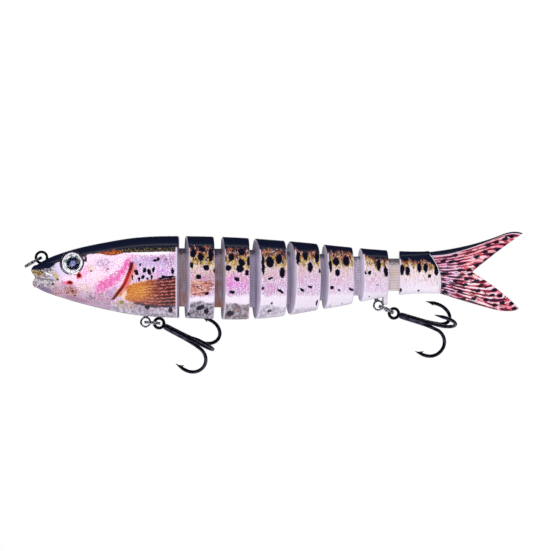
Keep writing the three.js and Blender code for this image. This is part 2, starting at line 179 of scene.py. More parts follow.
def lofted(rings, slot=0, cap_start=True, cap_end=True, closed=False):
    """Faces between closed rings of points, with flat fans over the ends: (points, faces, slot)."""
    rings = np.asarray(rings, float)
    rows, count = rings.shape[:2]
    points = [tuple(p) for p in rings.reshape(-1, 3)]
    faces = []
    for r in range(rows if closed else rows - 1):
        for k in range(count):
            a, b = r * count + k, r * count + (k + 1) % count
            c, d = ((r + 1) % rows) * count + (k + 1) % count, ((r + 1) % rows) * count + k
            faces.append((a, b, c, d))
    for wanted, row in ((cap_start, 0), (cap_end, rows - 1)):
        if wanted and not closed:
            points.append(tuple(rings[row].mean(axis=0)))
            faces += [(row * count + k, row * count + (k + 1) % count, len(points) - 1) for k in range(count)]
    return points, faces, slot


def built(name, parts, materials, place, crease=32.0):
    """One object from several (points in millimetres, faces, material slot)."""
    points, faces, slots = [], [], []
    for part_points, part_faces, slot in parts:
        start = len(points)
        points += [(x * MM, y * MM, z * MM) for x, y, z in part_points]
        faces += [tuple(start + v for v in face) for face in part_faces]
        slots += [slot] * len(part_faces) if isinstance(slot, int) else list(slot)
    mesh = bpy.data.meshes.new(name)
    mesh.from_pydata(points, [], faces)
    mesh.polygons.foreach_set("material_index", slots)
    for material in materials:
        mesh.materials.append(material)
    obj = bpy.data.objects.new(name, mesh)
    bpy.context.scene.collection.objects.link(obj)
    obj.matrix_world = place
    shade(obj, crease)
    return obj


def shade(obj, crease):
    """Smooth shading, with a hard edge wherever two faces meet at more than crease degrees."""
    work = bmesh.new()
    work.from_mesh(obj.data)
    bmesh.ops.remove_doubles(work, verts=work.verts, dist=1e-8)
    bmesh.ops.recalc_face_normals(work, faces=work.faces)
    for face in work.faces:
        face.smooth = True
    for edge in work.edges:
        edge.smooth = len(edge.link_faces) == 2 and edge.calc_face_angle(0.0) < math.radians(crease)
    work.to_mesh(obj.data)
    work.free()


def tube(path, radius, up, squash=1.0, sides=14, closed=False):
    """Wire along a path; up is a direction square to it, along which the section may be squashed."""
    path = np.asarray(path, float)
    if closed:
        along = np.roll(path, -1, axis=0) - np.roll(path, 1, axis=0)
    else:
        along = np.gradient(path, axis=0)
    along /= np.linalg.norm(along, axis=1)[:, None]
    across = np.cross(along, np.asarray(up, float))
    across /= np.linalg.norm(across, axis=1)[:, None]
    over = np.cross(across, along)
    radius = np.broadcast_to(np.asarray(radius, float), (len(path),))
    turn = np.linspace(0, 2 * math.pi, sides, endpoint=False)
    rings = path[:, None] + radius[:, None, None] * (
        np.cos(turn)[None, :, None] * across[:, None] + squash * np.sin(turn)[None, :, None] * over[:, None]
    )
    return lofted(rings, closed=closed)


def smooth_path(points, per=6):
    """Catmull-Rom curve through the points."""
    p = np.asarray(points, float)
    p = np.vstack([2 * p[0] - p[1], p, 2 * p[-1] - p[-2]])
    t = np.linspace(0, 1, per, endpoint=False)[:, None]
    runs = [
        0.5 * (2 * b + (c - a) * t + (2 * a - 5 * b + 4 * c - d) * t**2 + (3 * b - a - 3 * c + d) * t**3)
        for a, b, c, d in zip(p[:-3], p[1:-2], p[2:-1], p[3:])
    ]
    return np.vstack(runs + [p[-2:-1]])


def circle(radius, steps, centre=(0, 0, 0)):
    """Points of a circle whose hole runs along y."""
    turn = np.linspace(0, 2 * math.pi, steps, endpoint=False)
    return np.stack([radius * np.cos(turn), 0 * turn, radius * np.sin(turn)], axis=1) + centre


def turned(profile):
    """Part turned about z through (radius, height) points, closed on the axis at both ends."""
    return lofted([circle(r, ROUND_STEPS)[:, [0, 2, 1]] + (0, 0, h) for r, h in profile])


# ---------- painting ----------

def linear(colour):
    """Linear colour from the 0 to 255 values that a screen shows."""
    shares = [v / 255 for v in colour]
    return [v / 12.92 if v <= 0.04045 else ((v + 0.055) / 1.055) ** 2.4 for v in shares] + [1.0]


class Value:
    """What a node gives out. Arithmetic on it adds nodes, so that paint reads as formulas."""

    def __init__(self, paint, socket):
        self.paint = paint
        self.socket = socket

    def __add__(self, other):
        return self.paint.math("ADD", self, other)

    def __sub__(self, other):
        return self.paint.math("SUBTRACT", self, other)

    def __rsub__(self, other):
        return self.paint.math("SUBTRACT", other, self)

    def __mul__(self, other):
        return self.paint.math("MULTIPLY", self, other)

    def __truediv__(self, other):
        return self.paint.math("DIVIDE", self, other)

    def __abs__(self):
        return self.paint.math("ABSOLUTE", self)

    __radd__ = __add__
    __rmul__ = __mul__

    def rise(self, low, high):
        """0 where this is at low, 1 where it is at high, smooth in between (low may be above high)."""
        smooth = {"interpolation_type": "SMOOTHSTEP"}
        inputs = {"Value": self, "From Min": low, "From Max": high}
        return self.paint.value("MapRange", "Result", smooth, **inputs)

    def band(self, low, high, soft):
        """1 from low to high, fading to 0 over a soft edge."""
        return self.rise(low - soft, low + soft) * self.rise(high + soft, high - soft)

    def swing(self, amount):
        """A cloudy value turned into a shift of up to about amount either way."""
        return (self - 0.5) * (2 * amount)

    def curve(self, points):
        """A value that runs smoothly through the (this, result) points."""
        xs = [p[0] for p in points]
        ys = [p[1] for p in points]
        low, high = min(ys), max(ys)
        span = max(high - low, 1e-6)
        inputs = {"Value": self, "From Min": xs[0], "From Max": xs[-1]}
        node = self.paint.add("FloatCurve", Value=self.paint.value("MapRange", "Result", **inputs))
        line = node.mapping.curves[0]
        while len(line.points) > 2:
            line.points.remove(line.points[1])
        for index, (x, y) in enumerate(points):
            at = ((x - xs[0]) / (xs[-1] - xs[0]), (y - low) / span)
            if index in (0, len(points) - 1):
                line.points[0 if index == 0 else -1].location = at
            else:
                line.points.new(*at)
        for point in line.points:
            point.handle_type = "AUTO_CLAMPED"
        node.mapping.update()
        inputs = {"Value": node.outputs[0], "To Min": low, "To Max": high}
        return self.paint.value("MapRange", "Result", **inputs)


class Paint:
    """A material's node tree, in millimetres and in the 0 to 255 colour values of a screen."""

    def __init__(self, name, **settings):
        self.material = bpy.data.materials.new(name)
        self.material.use_nodes = True
        self.tree = self.material.node_tree
        self.shader = self.tree.nodes["Principled BSDF"]
        for socket, value in settings.items():
            self.shader.inputs[socket.replace("_", " ")].default_value = value
        self.place = self.vector("MULTIPLY", self.value("TexCoord", "Object"), (1 / MM, 1 / MM, 1 / MM))
        split = self.add("SeparateXYZ", Vector=self.place)
        self.x, self.y, self.z = (Value(self, socket) for socket in split.outputs)
        self.flat = self.vector("MULTIPLY", self.place, (1, 0, 1))

    def add(self, kind, settings=(), **inputs):
        node = self.tree.nodes.new("ShaderNode" + kind)
        for key, value in dict(settings).items():
            setattr(node, key, value)
        for key, value in inputs.items():
            self.put(node.inputs[key], value)
        return node

    def value(self, kind, output, settings=(), **inputs):
        return Value(self, self.add(kind, settings, **inputs).outputs[output])

    def put(self, socket, value):
        if isinstance(value, Value):
            value = value.socket
        if isinstance(value, bpy.types.NodeSocket):
            self.tree.links.new(value, socket)
        else:
            socket.default_value = linear(value) if socket.type == "RGBA" else value

    def math(self, operation, *values):
        node = self.add("Math", {"operation": operation})
        for socket, value in zip(node.inputs, values):
            self.put(socket, value)
        return Value(self, node.outputs[0])

    def vector(self, operation, *values):
        node = self.add("VectorMath", {"operation": operation})
        for socket, value in zip(node.inputs, values):
            self.put(socket, value)
        return Value(self, node.outputs["Value" if operation == "LENGTH" else "Vector"])

    def noise(self, scale, stretch=(1, 1, 1), detail=2.0, rough=0.5, at=None, shift=0.0):
        """Cloudy value round 0.5; features are about 1/scale millimetres, and stretch scales each axis."""
        place = self.vector("MULTIPLY", at or self.place, stretch)
        if shift:
            place = self.vector("ADD", place, (shift, shift, shift))
        return self.value("TexNoise", "Fac", Vector=place, Scale=scale, Detail=detail, Roughness=rough)

    def cloud(self, scale, stretch=(1, 1, 1), detail=2.0, rough=0.5, shift=0.0):
        """Noise that doesn't change across the body, like one print on both of its sides."""
        return self.noise(scale, stretch, detail, rough, self.flat, shift)

    def mix(self, factor, a, b):
        node = self.add("Mix", {"data_type": "RGBA", "clamp_factor": True}, Factor=factor)
        self.put(node.inputs[6], a)
        self.put(node.inputs[7], b)
        return Value(self, node.outputs[2])

    def nearest(self, place, spots):
        """How far a place is from the nearest of the oval spots, where 1 is a spot's edge."""
        found = None
        for x, z, wide, high, *tilt in spots:
            turn = (0, math.radians(tilt[0] if tilt else 0), 0)
            oval = {"Vector": place, "Location": (x, 0, z), "Rotation": turn, "Scale": (wide, 1, high)}
            far = self.vector("LENGTH", self.value("Mapping", "Vector", {"vector_type": "TEXTURE"}, **oval))
            found = self.math("MINIMUM", found, far) if found else far
        return found

    def bump(self, height, depth):
        """Relief of the given depth in millimetres."""
        node = self.add("Bump", Height=height, Distance=depth * MM, Strength=1.0)
        self.put(self.shader.inputs["Normal"], node.outputs[0])

    def show(self, colour, roughness=None):
        self.put(self.shader.inputs["Base Color"], colour)
        if roughness is not None:
            self.put(self.shader.inputs["Roughness"], roughness)
        return self.material


NAVY = (11, 17, 42)
SPOT_INK = (14, 9, 32)
RUST = (156, 84, 56)
OLIVE = (168, 136, 66)
YELLOW = (212, 178, 70)
CREAM = (236, 212, 200)
UMBER = (44, 26, 28)
PEARL = (255, 246, 255)
MAGENTA = (222, 104, 210)
PLUM = (168, 84, 140)
BELLY_BROWN = (138, 104, 84)

# heights along the fish where the dark back ends and where the yellow band under it ends
BACK_LOW = [
    (0, 2.0), (4, 2.3), (6, 3.2), (8, 4.6), (14.3, 6.0), (18.3, 6.9), (24.6, 7.6), (32, 8.1), (40, 8.3),
    (60, 7.8), (71, 7.3), (80, 7.0), (90, 6.7), (97, 5.2), (104, 4.8), (111.5, 4.6), (113.4, 3.4),
    (116, -0.5),
]
BAND_LOW = [
    (0, 2.0), (8, 4.2), (14.3, 5.6), (17.8, 6.5), (22, 6.0), (24.6, 6.4), (26, 6.7), (32, 6.9), (41, 7.0),
    (42.5, 2.2), (50, 2.0), (61, 1.7), (62, 2.3), (71, 2.2), (72, 3.2), (80, 3.0), (82, 2.1), (90, 2.2),
    (92, 2.8), (104, 2.3), (116, 1.8),
]


def flank(paint):
    """Pearl, lavender and pink skin: fine speckle over upright streaks, paler towards the tail."""
    speck = paint.cloud(2.9, detail=3, rough=0.7)
    streak = paint.cloud(1.5, (1.5, 1, 0.3), 4, 0.65)
    cloud = paint.cloud(0.3, (1, 1, 0.8), 2, 0.5, 7.0)
    grit = paint.cloud(5.5, detail=2, rough=0.6, shift=15.0)
    aft = paint.x.rise(58.0, 96.0)
    last = paint.x.rise(96.0, 108.0)
    lilac = paint.mix(aft, (172, 128, 186), (214, 180, 222))
    lilac = paint.mix(last, lilac, (244, 226, 244))
    pink = paint.mix(aft, (226, 132, 192), (246, 190, 220))
    pink = paint.mix(last, pink, (255, 228, 240))
    colour = paint.mix(speck.rise(0.4, 0.58), lilac, PEARL)
    colour = paint.mix(streak.rise(0.5, 0.62) * 0.6, colour, pink)
    colour = paint.mix(cloud.rise(0.5, 0.62) * 0.4, colour, pink)
    colour = paint.mix(streak.rise(0.46, 0.36) * 0.75, colour, PEARL)
    dark = grit.rise(0.57, 0.65) * (0.65 - aft * 0.35)
    colour = paint.mix(dark, colour, (122, 66, 126))
    return colour, speck


def bands(paint, colour):
    """The mottled yellow band over the flank, and how far the dark back covers it."""
    coarse = paint.cloud(0.8, (1.2, 1, 0.25), 2, 0.5, 3.0).swing(1.7)
    fine = paint.cloud(2.6, (1.3, 1, 0.3), 3, 0.7, 13.0).swing(0.9)
    jag = coarse + fine
    back_low = paint.x.curve(BACK_LOW) + jag
    band_low = paint.x.curve(BAND_LOW) + jag * 1.5
    tone = paint.z - band_low
    depth = tone / paint.math("MAXIMUM", back_low - band_low, 0.6)
    patch = paint.cloud(0.8, (1.3, 1, 0.7), 3, 0.6, 11.0).swing(0.8)
    mottle = paint.cloud(1.5, (1.1, 1, 0.7), 4, 0.75, 5.0)
    fleck = paint.cloud(2.6, (1.2, 1, 0.7), 3, 0.7, 19.0)
    warm = paint.mix((depth + patch).rise(0.0, 0.3), CREAM, OLIVE)
    warm = paint.mix(mottle.rise(0.5, 0.4) * 0.8, warm, YELLOW)
    warm = paint.mix((depth + patch).rise(0.5, 0.8), warm, RUST)
    shadow = mottle + depth * 0.12
    warm = paint.mix(shadow.rise(0.56, 0.65), warm, UMBER)
    light = fleck - depth * 0.05
    warm = paint.mix(light.rise(0.51, 0.6) * 0.8, warm, (240, 214, 222))
    drip = paint.cloud(2.1, (1.3, 1, 0.35), 4, 0.7, 31.0)
    below = tone.rise(-6.5, 0.0) * drip.rise(0.51, 0.59) * 0.85
    colour = paint.mix(below, colour, (166, 122, 104))
    sandy = tone.rise(-4.5, -0.5) * fleck.rise(0.52, 0.44) * 0.7
    colour = paint.mix(sandy, colour, (232, 204, 172))
    colour = paint.mix(tone.rise(-0.4, 0.4), colour, warm)
    over_back = (paint.z - back_low).rise(-0.3, 0.25)
    return colour, over_back


def belly(paint, colour):
    """White under the flank, then the see-through grey belly, brown towards the head."""
    low = paint.z + paint.cloud(0.5, detail=3, shift=9.0).swing(1.0)
    white = paint.x.curve([
        (0, -9), (20, -9), (40, -9.5), (43, -5.6), (60, -4.6), (75, -4.6), (90, -4), (116, -2),
    ])
    colour = paint.mix(low.rise(white, white - 1.0) * 0.8, colour, PEARL)
    clear = paint.x.curve([
        (0, -7), (20, -7), (30, -7.4), (41, -7.3), (50, -7.0), (60, -7.6),
        (66, -8.0), (72, -8.8), (80, -8.3), (84, -7.9), (100, -6.5), (116, -5.5),
    ])
    mottle = paint.cloud(1.1, detail=4, rough=0.7, shift=2.0)
    grain = paint.cloud(2.8, detail=3, rough=0.7, shift=22.0)
    deep = paint.x.curve([
        (0, 0.4), (24, 0.15), (40, 0.25), (43, 0.95), (51, 0.9), (60, 0.7), (64, 0.2), (116, 0.0),
    ])
    grey = paint.mix(mottle.rise(0.42, 0.58), (150, 138, 160), (226, 216, 230))
    dark = paint.mix(mottle.rise(0.44, 0.54), (34, 32, 54), (180, 174, 198))
    grey = paint.mix(deep, grey, dark)
    brown = paint.x.curve([
        (0, 0.5), (41, 0.35), (51, 0.4), (53, 0.85), (60, 0.85), (63, 0.15), (116, 0.0),
    ])
    grey = paint.mix(grain.rise(0.46, 0.56) * brown, grey, BELLY_BROWN)
    strength = paint.x.curve([(0, 0.75), (41, 0.85), (60, 0.95), (63, 0.7), (85, 0.5), (116, 0.3)])
    return paint.mix(low.rise(clear + 0.35, clear - 0.35) * strength, colour, grey)


def warped(paint, amount=0.42):
    """The flat place, pushed about a little so that spots get uneven edges."""
    push = paint.value("TexNoise", "Color", Vector=paint.flat, Scale=2.1, Detail=2.0)
    push = paint.vector("SUBTRACT", push, (0.5, 0.5, 0.5))
    push = paint.vector("MULTIPLY", push, (2 * amount, 0, 2 * amount))
    return paint.vector("ADD", paint.flat, push)


def borders(paint, colour, start, end, over_back, bare=0.0):
    """The print stops short of the shell's ends: a pale line, and bare grey plastic past it, whose dark grey
    is partly painted shade where the edge rounds into the gap.
    """
    rim = paint.math("MINIMUM", paint.x - start, end - paint.x)
    under = 1.0 - over_back
    mask = rim.rise(bare + 0.62, bare + 0.42) * 0.8 * under
    colour = paint.mix(mask, colour, (232, 222, 240))
    if bare:
        # bare plastic past the print, darkened partly as painted shade of the rounded edge
        colour = paint.mix(rim.rise(bare + 0.2, bare) * under, colour, (112, 106, 132))
    return colour


def skin_paint(name):
    return Paint(name, Roughness=0.36, Specular_IOR_Level=0.15, Coat_Weight=0.5, Coat_Roughness=0.14)


def segment_skin(name, spots):
    """Painted skin of one body segment; spots are (from its front edge, height, half sizes, tilt)."""
    start, end = SPAN[name]
    paint = skin_paint(f"{name}_skin")
    colour, speck = flank(paint)
    rosy = paint.x.curve([
        (43, 0.8), (51, 0.8), (53, 1.0), (60, 0.95), (62, 0.25), (80, 0.1), (116, 0.0),
    ])
    stripe = paint.z.band(-3.4, 1.4 if name == "segment_2" else 0.6, 1.2)
    rosy = rosy * stripe * speck.rise(0.6, 0.44) * 0.92
    colour = paint.mix(rosy, colour, PLUM if name == "segment_2" else MAGENTA)
    colour = belly(paint, colour)
    if name == "segment_2":
        colour = fin_end(paint, colour)
    colour, over_back = bands(paint, colour)
    colour = borders(paint, colour, start, end, over_back)
    placed = [(start + x, z, *rest) for x, z, *rest in spots]
    near = paint.nearest(warped(paint), placed)
    colour = paint.mix(near.rise(1.14, 0.86), colour, SPOT_INK)
    colour = paint.mix(over_back, colour, NAVY)
    return paint.show(colour)


def fin_end(paint, colour):
    """The end of the printed pectoral fin: ragged orange and cream stripes."""
    stripe = paint.cloud(1.0, (0.3, 1, 1.7), 4, 0.7, 4.0)
    fine = paint.cloud(2.4, (0.6, 1, 1.8), 3, 0.7, 14.0)
    lined = paint.mix(stripe.rise(0.42, 0.54), (140, 58, 42), (220, 150, 136))
    lined = paint.mix(fine.rise(0.55, 0.63), lined, (255, 236, 236))
    dark = fine.rise(0.43, 0.36) * paint.z.rise(-0.4, -4.2) * 0.85
    lined = paint.mix(dark, lined, (110, 34, 42))
    rough = paint.cloud(1.6, detail=3, shift=24.0).swing(0.9)
    reach = paint.z.curve([(-6, 46.5), (-4, 48.6), (-1, 49.9)]) + rough * 1.6
    inside = (paint.z + rough).band(-5.2, -1.0, 0.3) * (paint.x - reach).rise(0.4, -0.4)
    return paint.mix(inside, colour, lined)


def fin_rays(paint, colour, across, mask):
    """The printed pectoral fin: orange at its root, with dark rays that widen to its end."""
    wave = paint.cloud(1.3, (1, 1, 1), 3, 0.6, 4.0).swing(0.3)
    rays = paint.math("SINE", (across + wave) * (2 * math.pi / 0.9))
    deep = paint.x.rise(30.0, 38.5)
    fine = paint.cloud(2.6, (0.6, 1, 1.6), 3, 0.75, 6.0)
    gold = paint.mix(fine.rise(0.44, 0.56), (192, 104, 34), (232, 162, 82))
    wine = paint.mix(fine.rise(0.46, 0.56), (108, 40, 44), (204, 126, 112))
    low = across.rise(3.4, 0.6)
    base = paint.mix((paint.x + low * 3.5).rise(29.5, 36.0), gold, wine)
    line = paint.mix(deep, (150, 62, 40), (44, 12, 28))
    start = 0.7 - deep * 0.85 - low * 0.6
    width = (rays + fine.swing(0.7)).rise(start, start + 0.4)
    lined = paint.mix(width * (deep * 0.35 + 0.6), base, line)
    return paint.mix(mask, colour, lined)


# rear edge of the gill cover: z, x
GILL = [(-6.6, 22.3), (-4.6, 23.8), (-2.0, 25.7), (1.0, 27.0), (2.7, 27.6), (4.4, 27.9)]
# spots on the head: x, z, half length, half height and, where it is turned, its tilt in degrees
HEAD_SPOTS = [
    (34.3, 4.6, 0.6, 0.4, -15), (35.2, 4.9, 0.5, 0.55, 20), (29.1, 1.3, 0.55, 0.85, -25),
    (31.4, 1.9, 0.5, 0.8, 10), (32.7, 1.3, 0.5, 0.95, -20), (33.9, 2.1, 0.42, 0.85, 10),
    (29.9, -0.6, 0.4, 0.6), (31.0, 0.0, 0.42, 0.6, 25), (28.0, -0.2, 0.3, 0.7), (32.2, -0.5, 0.4, 0.4),
    (33.4, -0.1, 0.3, 0.7), (39.2, 1.6, 0.45, 1.0), (36.0, -0.4, 0.9, 0.3, -6), (38.4, 0.0, 1.6, 0.34, -4),
    (36.6, 0.1, 0.5, 0.45), (32.1, -8.4, 0.7, 0.6), (38.6, -9.2, 0.6, 0.8), (30.2, 3.4, 0.3, 0.5, 20),
    (37.4, 4.9, 0.3, 0.2),
]
# patches of colour on the head: x, z, half length, half height, tilt, colour, strength, flecked or not
HEAD_TINTS = [
    (20.2, 3.9, 3.6, 1.9, 0, (170, 140, 180), 0.8, True),
    (15.0, 1.6, 1.6, 2.6, 30, (250, 110, 190), 0.9, True),
    (16.6, 2.4, 1.7, 1.3, 0, (206, 164, 96), 0.9, True),
    (14.8, -2.9, 3.6, 1.5, 8, (214, 178, 160), 0.8, True),
    (20.8, 2.2, 1.6, 1.2, 0, (216, 96, 160), 0.7, True),
    (19.0, -0.4, 4.0, 2.0, 20, (252, 226, 232), 0.6, False),
    (22.6, -3.8, 2.6, 0.9, -50, (186, 150, 206), 0.8, False),
    (19.4, -6.0, 2.0, 0.8, 6, (206, 112, 168), 0.85, True),
    (16.4, -5.8, 1.9, 0.8, 8, (86, 58, 78), 0.95, True),
    (19.2, -5.2, 1.0, 0.45, 0, (116, 136, 96), 0.9, True),
    (9.0, 3.4, 4.2, 4.2, 0, (216, 206, 238), 0.85, False),
    (1.6, 1.2, 2.2, 1.3, 14, (166, 140, 74), 0.9, False),
    (1.8, 0.9, 2.0, 0.9, 14, (120, 72, 52), 0.8, True), (3.6, 2.2, 3.6, 1.8, -10, (48, 46, 56), 0.95, True),
    (4.6, 0.8, 1.7, 0.36, 22, (252, 248, 250), 0.9, False),
    (5.5, -0.2, 0.9, 0.6, 0, (190, 190, 222), 0.6, False),
    (3.2, -1.3, 2.6, 1.1, 0, (206, 202, 204), 0.9, False),
    (3.2, -1.4, 2.6, 1.2, 0, (104, 96, 110), 0.85, True),
    (6.9, 0.3, 0.7, 1.7, -30, (196, 166, 70), 0.8, False),
    (6.8, -1.8, 0.9, 1.0, 0, (232, 180, 126), 0.7, True),
    (8.6, -1.9, 1.1, 0.8, 0, (186, 116, 184), 0.85, True),
    (9.6, -1.6, 1.8, 0.6, 0, (244, 116, 170), 0.9, False),
    (3.6, -3.6, 2.8, 1.1, 22, (118, 102, 134), 0.95, False),
    (5.8, -4.5, 1.2, 0.7, 20, (92, 50, 66), 0.9, True), (7.4, -4.2, 2.2, 1.3, 10, (190, 92, 98), 0.8, True),
    (11.0, -4.0, 2.8, 1.7, 8, (206, 140, 134), 0.85, False),
    (10.6, -3.8, 3.0, 1.6, 8, (122, 78, 72), 0.95, True),
    (12.5, -6.2, 5.6, 1.0, 14, (160, 112, 140), 0.7, False),
    (18.5, -8.0, 5.6, 1.0, 8, (196, 160, 190), 0.7, False),
    (7.2, -0.7, 0.4, 0.35, 0, (84, 54, 20), 1.0, False),
    (24.3, -4.4, 1.2, 1.8, -35, (226, 168, 84), 0.9, False),
    (37.4, 1.5, 3.8, 1.7, 0, (206, 132, 226), 0.7, True),
    (38.4, 4.3, 2.0, 0.9, 0, (206, 124, 100), 0.95, True),
    (33.0, 6.9, 9.0, 1.1, 0, (255, 248, 255), 0.9, False),
    (29.1, 0.3, 0.6, 1.0, 0, (232, 232, 214), 0.8, False),
    (37.8, 4.6, 4.0, 2.4, 0, (150, 112, 156), 0.75, True),
    (33.0, 4.0, 8.0, 1.9, 0, (190, 160, 214), 0.5, False),
    (33.4, 5.0, 3.4, 1.1, 0, (176, 150, 188), 0.7, True),
    (25.6, -7.6, 4.6, 1.6, 10, (196, 150, 84), 0.75, True),
    (22.8, -5.4, 2.0, 1.6, -40, (176, 92, 96), 0.7, True),
    (26.0, 1.8, 1.2, 2.6, 20, (226, 92, 140), 0.7, True),
    (31.0, -8.9, 4.0, 0.9, 6, (120, 104, 118), 0.8, True),
]
RED_DOTS = [(10.6, -1.6, 0.85, 0.55), (13.2, 0.4, 0.65, 0.8)]
DARK_DOTS = [
    (21.3, 2.2, 0.35, 0.35), (16.5, 1.6, 0.32, 0.35), (2.0, -2.5, 0.35, 0.3), (5.9, -2.0, 0.4, 0.4),
    (12.1, -5.2, 0.6, 0.25), (11.3, -4.0, 0.5, 0.3), (15.0, 4.9, 0.5, 0.9), (14.6, 6.0, 0.9, 0.6),
]


def head_skin(zone, start, stop):
    """The head's print from start to stop: dark back, snout, pink cheek, gill line and pectoral fin, and
    painted shade in the mouth's groove.

    Each stretch of the head has its own material, with the same paint but only the patches that
    reach it, because one material can't hold them all."""
    def reaches(tint, margin=1.2):
        x, _, wide = tint[:3]
        return start - margin < x + wide and x - wide < stop + margin

    paint = skin_paint(f"head_{zone}_skin")
    colour, _ = flank(paint)
    place = warped(paint, 0.45)
    fine = paint.cloud(3.4, detail=4, rough=0.75, shift=8.0)
    coarse = paint.cloud(1.9, detail=3, rough=0.7, shift=18.0)

    # the gill cover and cheek are paler than the flank
    behind = paint.x - paint.z.curve(GILL)
    cheek = behind.rise(0.1, -0.6) * paint.z.band(-6.0, 7.0, 0.8)
    pale = paint.mix(fine.rise(0.42, 0.55), (222, 172, 210), (255, 238, 250))
    if zone == "snout":
        dull = paint.mix(coarse.rise(0.42, 0.58), (112, 102, 112), (206, 194, 198))
        pale = paint.mix(paint.x.rise(9.5, 5.0), pale, dull)
    colour = paint.mix(cheek, colour, pale)
    colour = belly(paint, colour)
    if zone != "rear":
        jaw = paint.x.curve([(0, -1.8), (5.5, -2.6), (9, -1.2), (13, -3.0), (17, -3.9), (23, -3.6)])
        low = (paint.z + coarse.swing(1.6)).rise(jaw + 0.5, jaw - 0.7)
        mauve = paint.mix(fine.rise(0.4, 0.6), (124, 80, 106), (216, 182, 200))
        colour = paint.mix(low * 0.72, colour, mauve)
    for x, z, wide, high, tilt, tint, strength, flecked in filter(reaches, HEAD_TINTS):
        mask = paint.nearest(place, [(x, z, wide, high, tilt)]).rise(1.0, 0.35)
        if flecked:
            mask = mask * (coarse if wide > 1.9 else fine).rise(0.54, 0.46)
        colour = paint.mix(mask * strength, colour, tint)
    if zone != "snout":
        colour = cheek_stripe(paint, colour, behind, fine)
    if zone != "rear":
        red = paint.nearest(place, RED_DOTS)
        colour = paint.mix(red.rise(1.6, 0.9), colour, (232, 86, 96))
        colour = paint.mix(red.rise(0.95, 0.6), colour, (88, 8, 14))
        colour = paint.mix(paint.nearest(place, DARK_DOTS).rise(1.0, 0.65), colour, (66, 22, 40))
    if zone == "rear":
        colour = pectoral(paint, colour, place, behind)
    if zone != "snout":
        colour = gill_line(paint, colour, behind, fine)
    colour, over_back = head_back(paint, colour)
    if zone == "rear":
        colour = borders(paint, colour, -5.0, HEAD_LENGTH, over_back, 0.45)
        near = paint.nearest(place, HEAD_SPOTS)
        colour = paint.mix(near.rise(1.14, 0.86), colour, SPOT_INK)
    colour = paint.mix(over_back, colour, NAVY)
    if zone == "snout":
        # painted shade: the carved groove of the mouth is darkened along its line
        colour = paint.mix(mouth_groove(paint) * 0.6, colour, (112, 92, 106))
    return paint.show(colour)


def cheek_stripe(paint, colour, behind, fine):
    """The rosy stripe that runs up the gill cover, made of small dashes."""
    middle = paint.x.curve([(17.5, -3.4), (22.3, -1.0), (24.4, 0.4), (26.6, 4.2)])
    far = abs(paint.z - middle)
    dash = paint.cloud(2.2, (0.7, 1, 1.3), 3, 0.7, 28.0)
    spread = far + dash.swing(4.6)
    mask = spread.rise(2.3, 0.9) * paint.x.rise(16.6, 19.0) * behind.rise(0.0, -0.6)
    rosy = paint.mix(fine.rise(0.42, 0.58), (206, 48, 136), (250, 128, 202))
    return paint.mix(mask * 0.92, colour, rosy)


def pectoral(paint, colour, place, behind):
    """The printed fin on the head: it spreads from its root to the shell's rear edge."""
    edge_high = paint.x.curve([(24.5, -2.8), (28.5, -1.8), (32, -0.9), (35, -0.5), (41, 0.2)])
    edge_low = paint.x.curve([(24.5, -5.0), (27, -6.7), (30, -7.6), (35, -8.4), (41, -8.2)])
    share = (paint.z - edge_low) / (edge_high - edge_low)
    wobble = paint.cloud(1.6, detail=3, rough=0.65, shift=1.0).swing(0.13)
    inside = share.rise(wobble - 0.05, wobble + 0.05) * share.rise(wobble + 1.05, wobble + 0.95)
    inside = inside * behind.rise(0.4, 1.4)
    colour = fin_rays(paint, colour, share * 8.0, inside)
    for x, z, wide, high, tilt, tint in (
        (25.7, -4.8, 0.75, 1.9, 14, (244, 220, 196)), (25.9, -4.4, 0.4, 1.2, 14, (248, 200, 190)),
        (25.1, -7.0, 0.8, 0.6, 0, (138, 124, 22)),
    ):
        mask = paint.nearest(place, [(x, z, wide, high, tilt)]).rise(1.1, 0.5)
        colour = paint.mix(mask * 0.92, colour, tint)
    low_edge = paint.nearest(place, [
        (30.2, -7.5, 2.0, 0.45, 10), (33.8, -8.1, 2.2, 0.55, 6), (37.6, -8.2, 2.2, 0.4, 4),
    ])
    return paint.mix(low_edge.rise(1.1, 0.7) * 0.8, colour, (52, 34, 62))


def gill_line(paint, colour, behind, fine):
    """The gill cover's dark red edge, with an orange glow behind its middle."""
    fade = paint.z.band(-6.3, 4.2, 0.3)
    glow = behind.band(-0.2, 1.6, 0.5) * paint.z.band(-4.6, 3.2, 1.2) * 0.85
    orange = paint.mix(fine.rise(0.44, 0.56), (206, 74, 60), (240, 140, 112))
    colour = paint.mix(glow, colour, orange)
    ragged = behind + fine.swing(0.35)
    line = ragged.band(-0.5, 0.6, 0.22) * fade
    bright = paint.z.band(-2.6, 1.2, 1.2) * 0.85
    return paint.mix(line, colour, paint.mix(bright, (104, 10, 22), (192, 32, 26)))


def head_back(paint, colour):
    """The mottled green-brown fringe under the head's dark back."""
    wave = paint.cloud(0.9, detail=3, rough=0.65, shift=5.0).swing(0.7)
    back_low = paint.x.curve(BACK_LOW) + wave
    band_low = paint.x.curve(BAND_LOW) + wave * 0.3
    mottle = paint.cloud(2.0, (1.2, 1, 0.8), 3, 0.75, 6.0)
    fringe = paint.mix(mottle.rise(0.48, 0.6), (22, 18, 26), (126, 114, 76))
    patch = paint.nearest(paint.flat, [(21.8, 6.6, 4.3, 1.7)]).rise(1.0, 0.6)
    rust = paint.mix(mottle.rise(0.45, 0.56), (92, 26, 16), (200, 104, 44))
    fringe = paint.mix(patch, fringe, rust)
    colour = paint.mix((paint.z - band_low).rise(-0.1, 0.1), colour, fringe)
    return colour, (paint.z - back_low).rise(-0.4, 0.3)


def mouth_groove(paint):
    """1 in the line of the mouth, 0 away from it."""
    line = paint.z - paint.x.curve([(0, -0.2), (6.5, -1.0)])
    return abs(line).rise(0.3, 0.08) * paint.x.rise(6.4, 4.4)


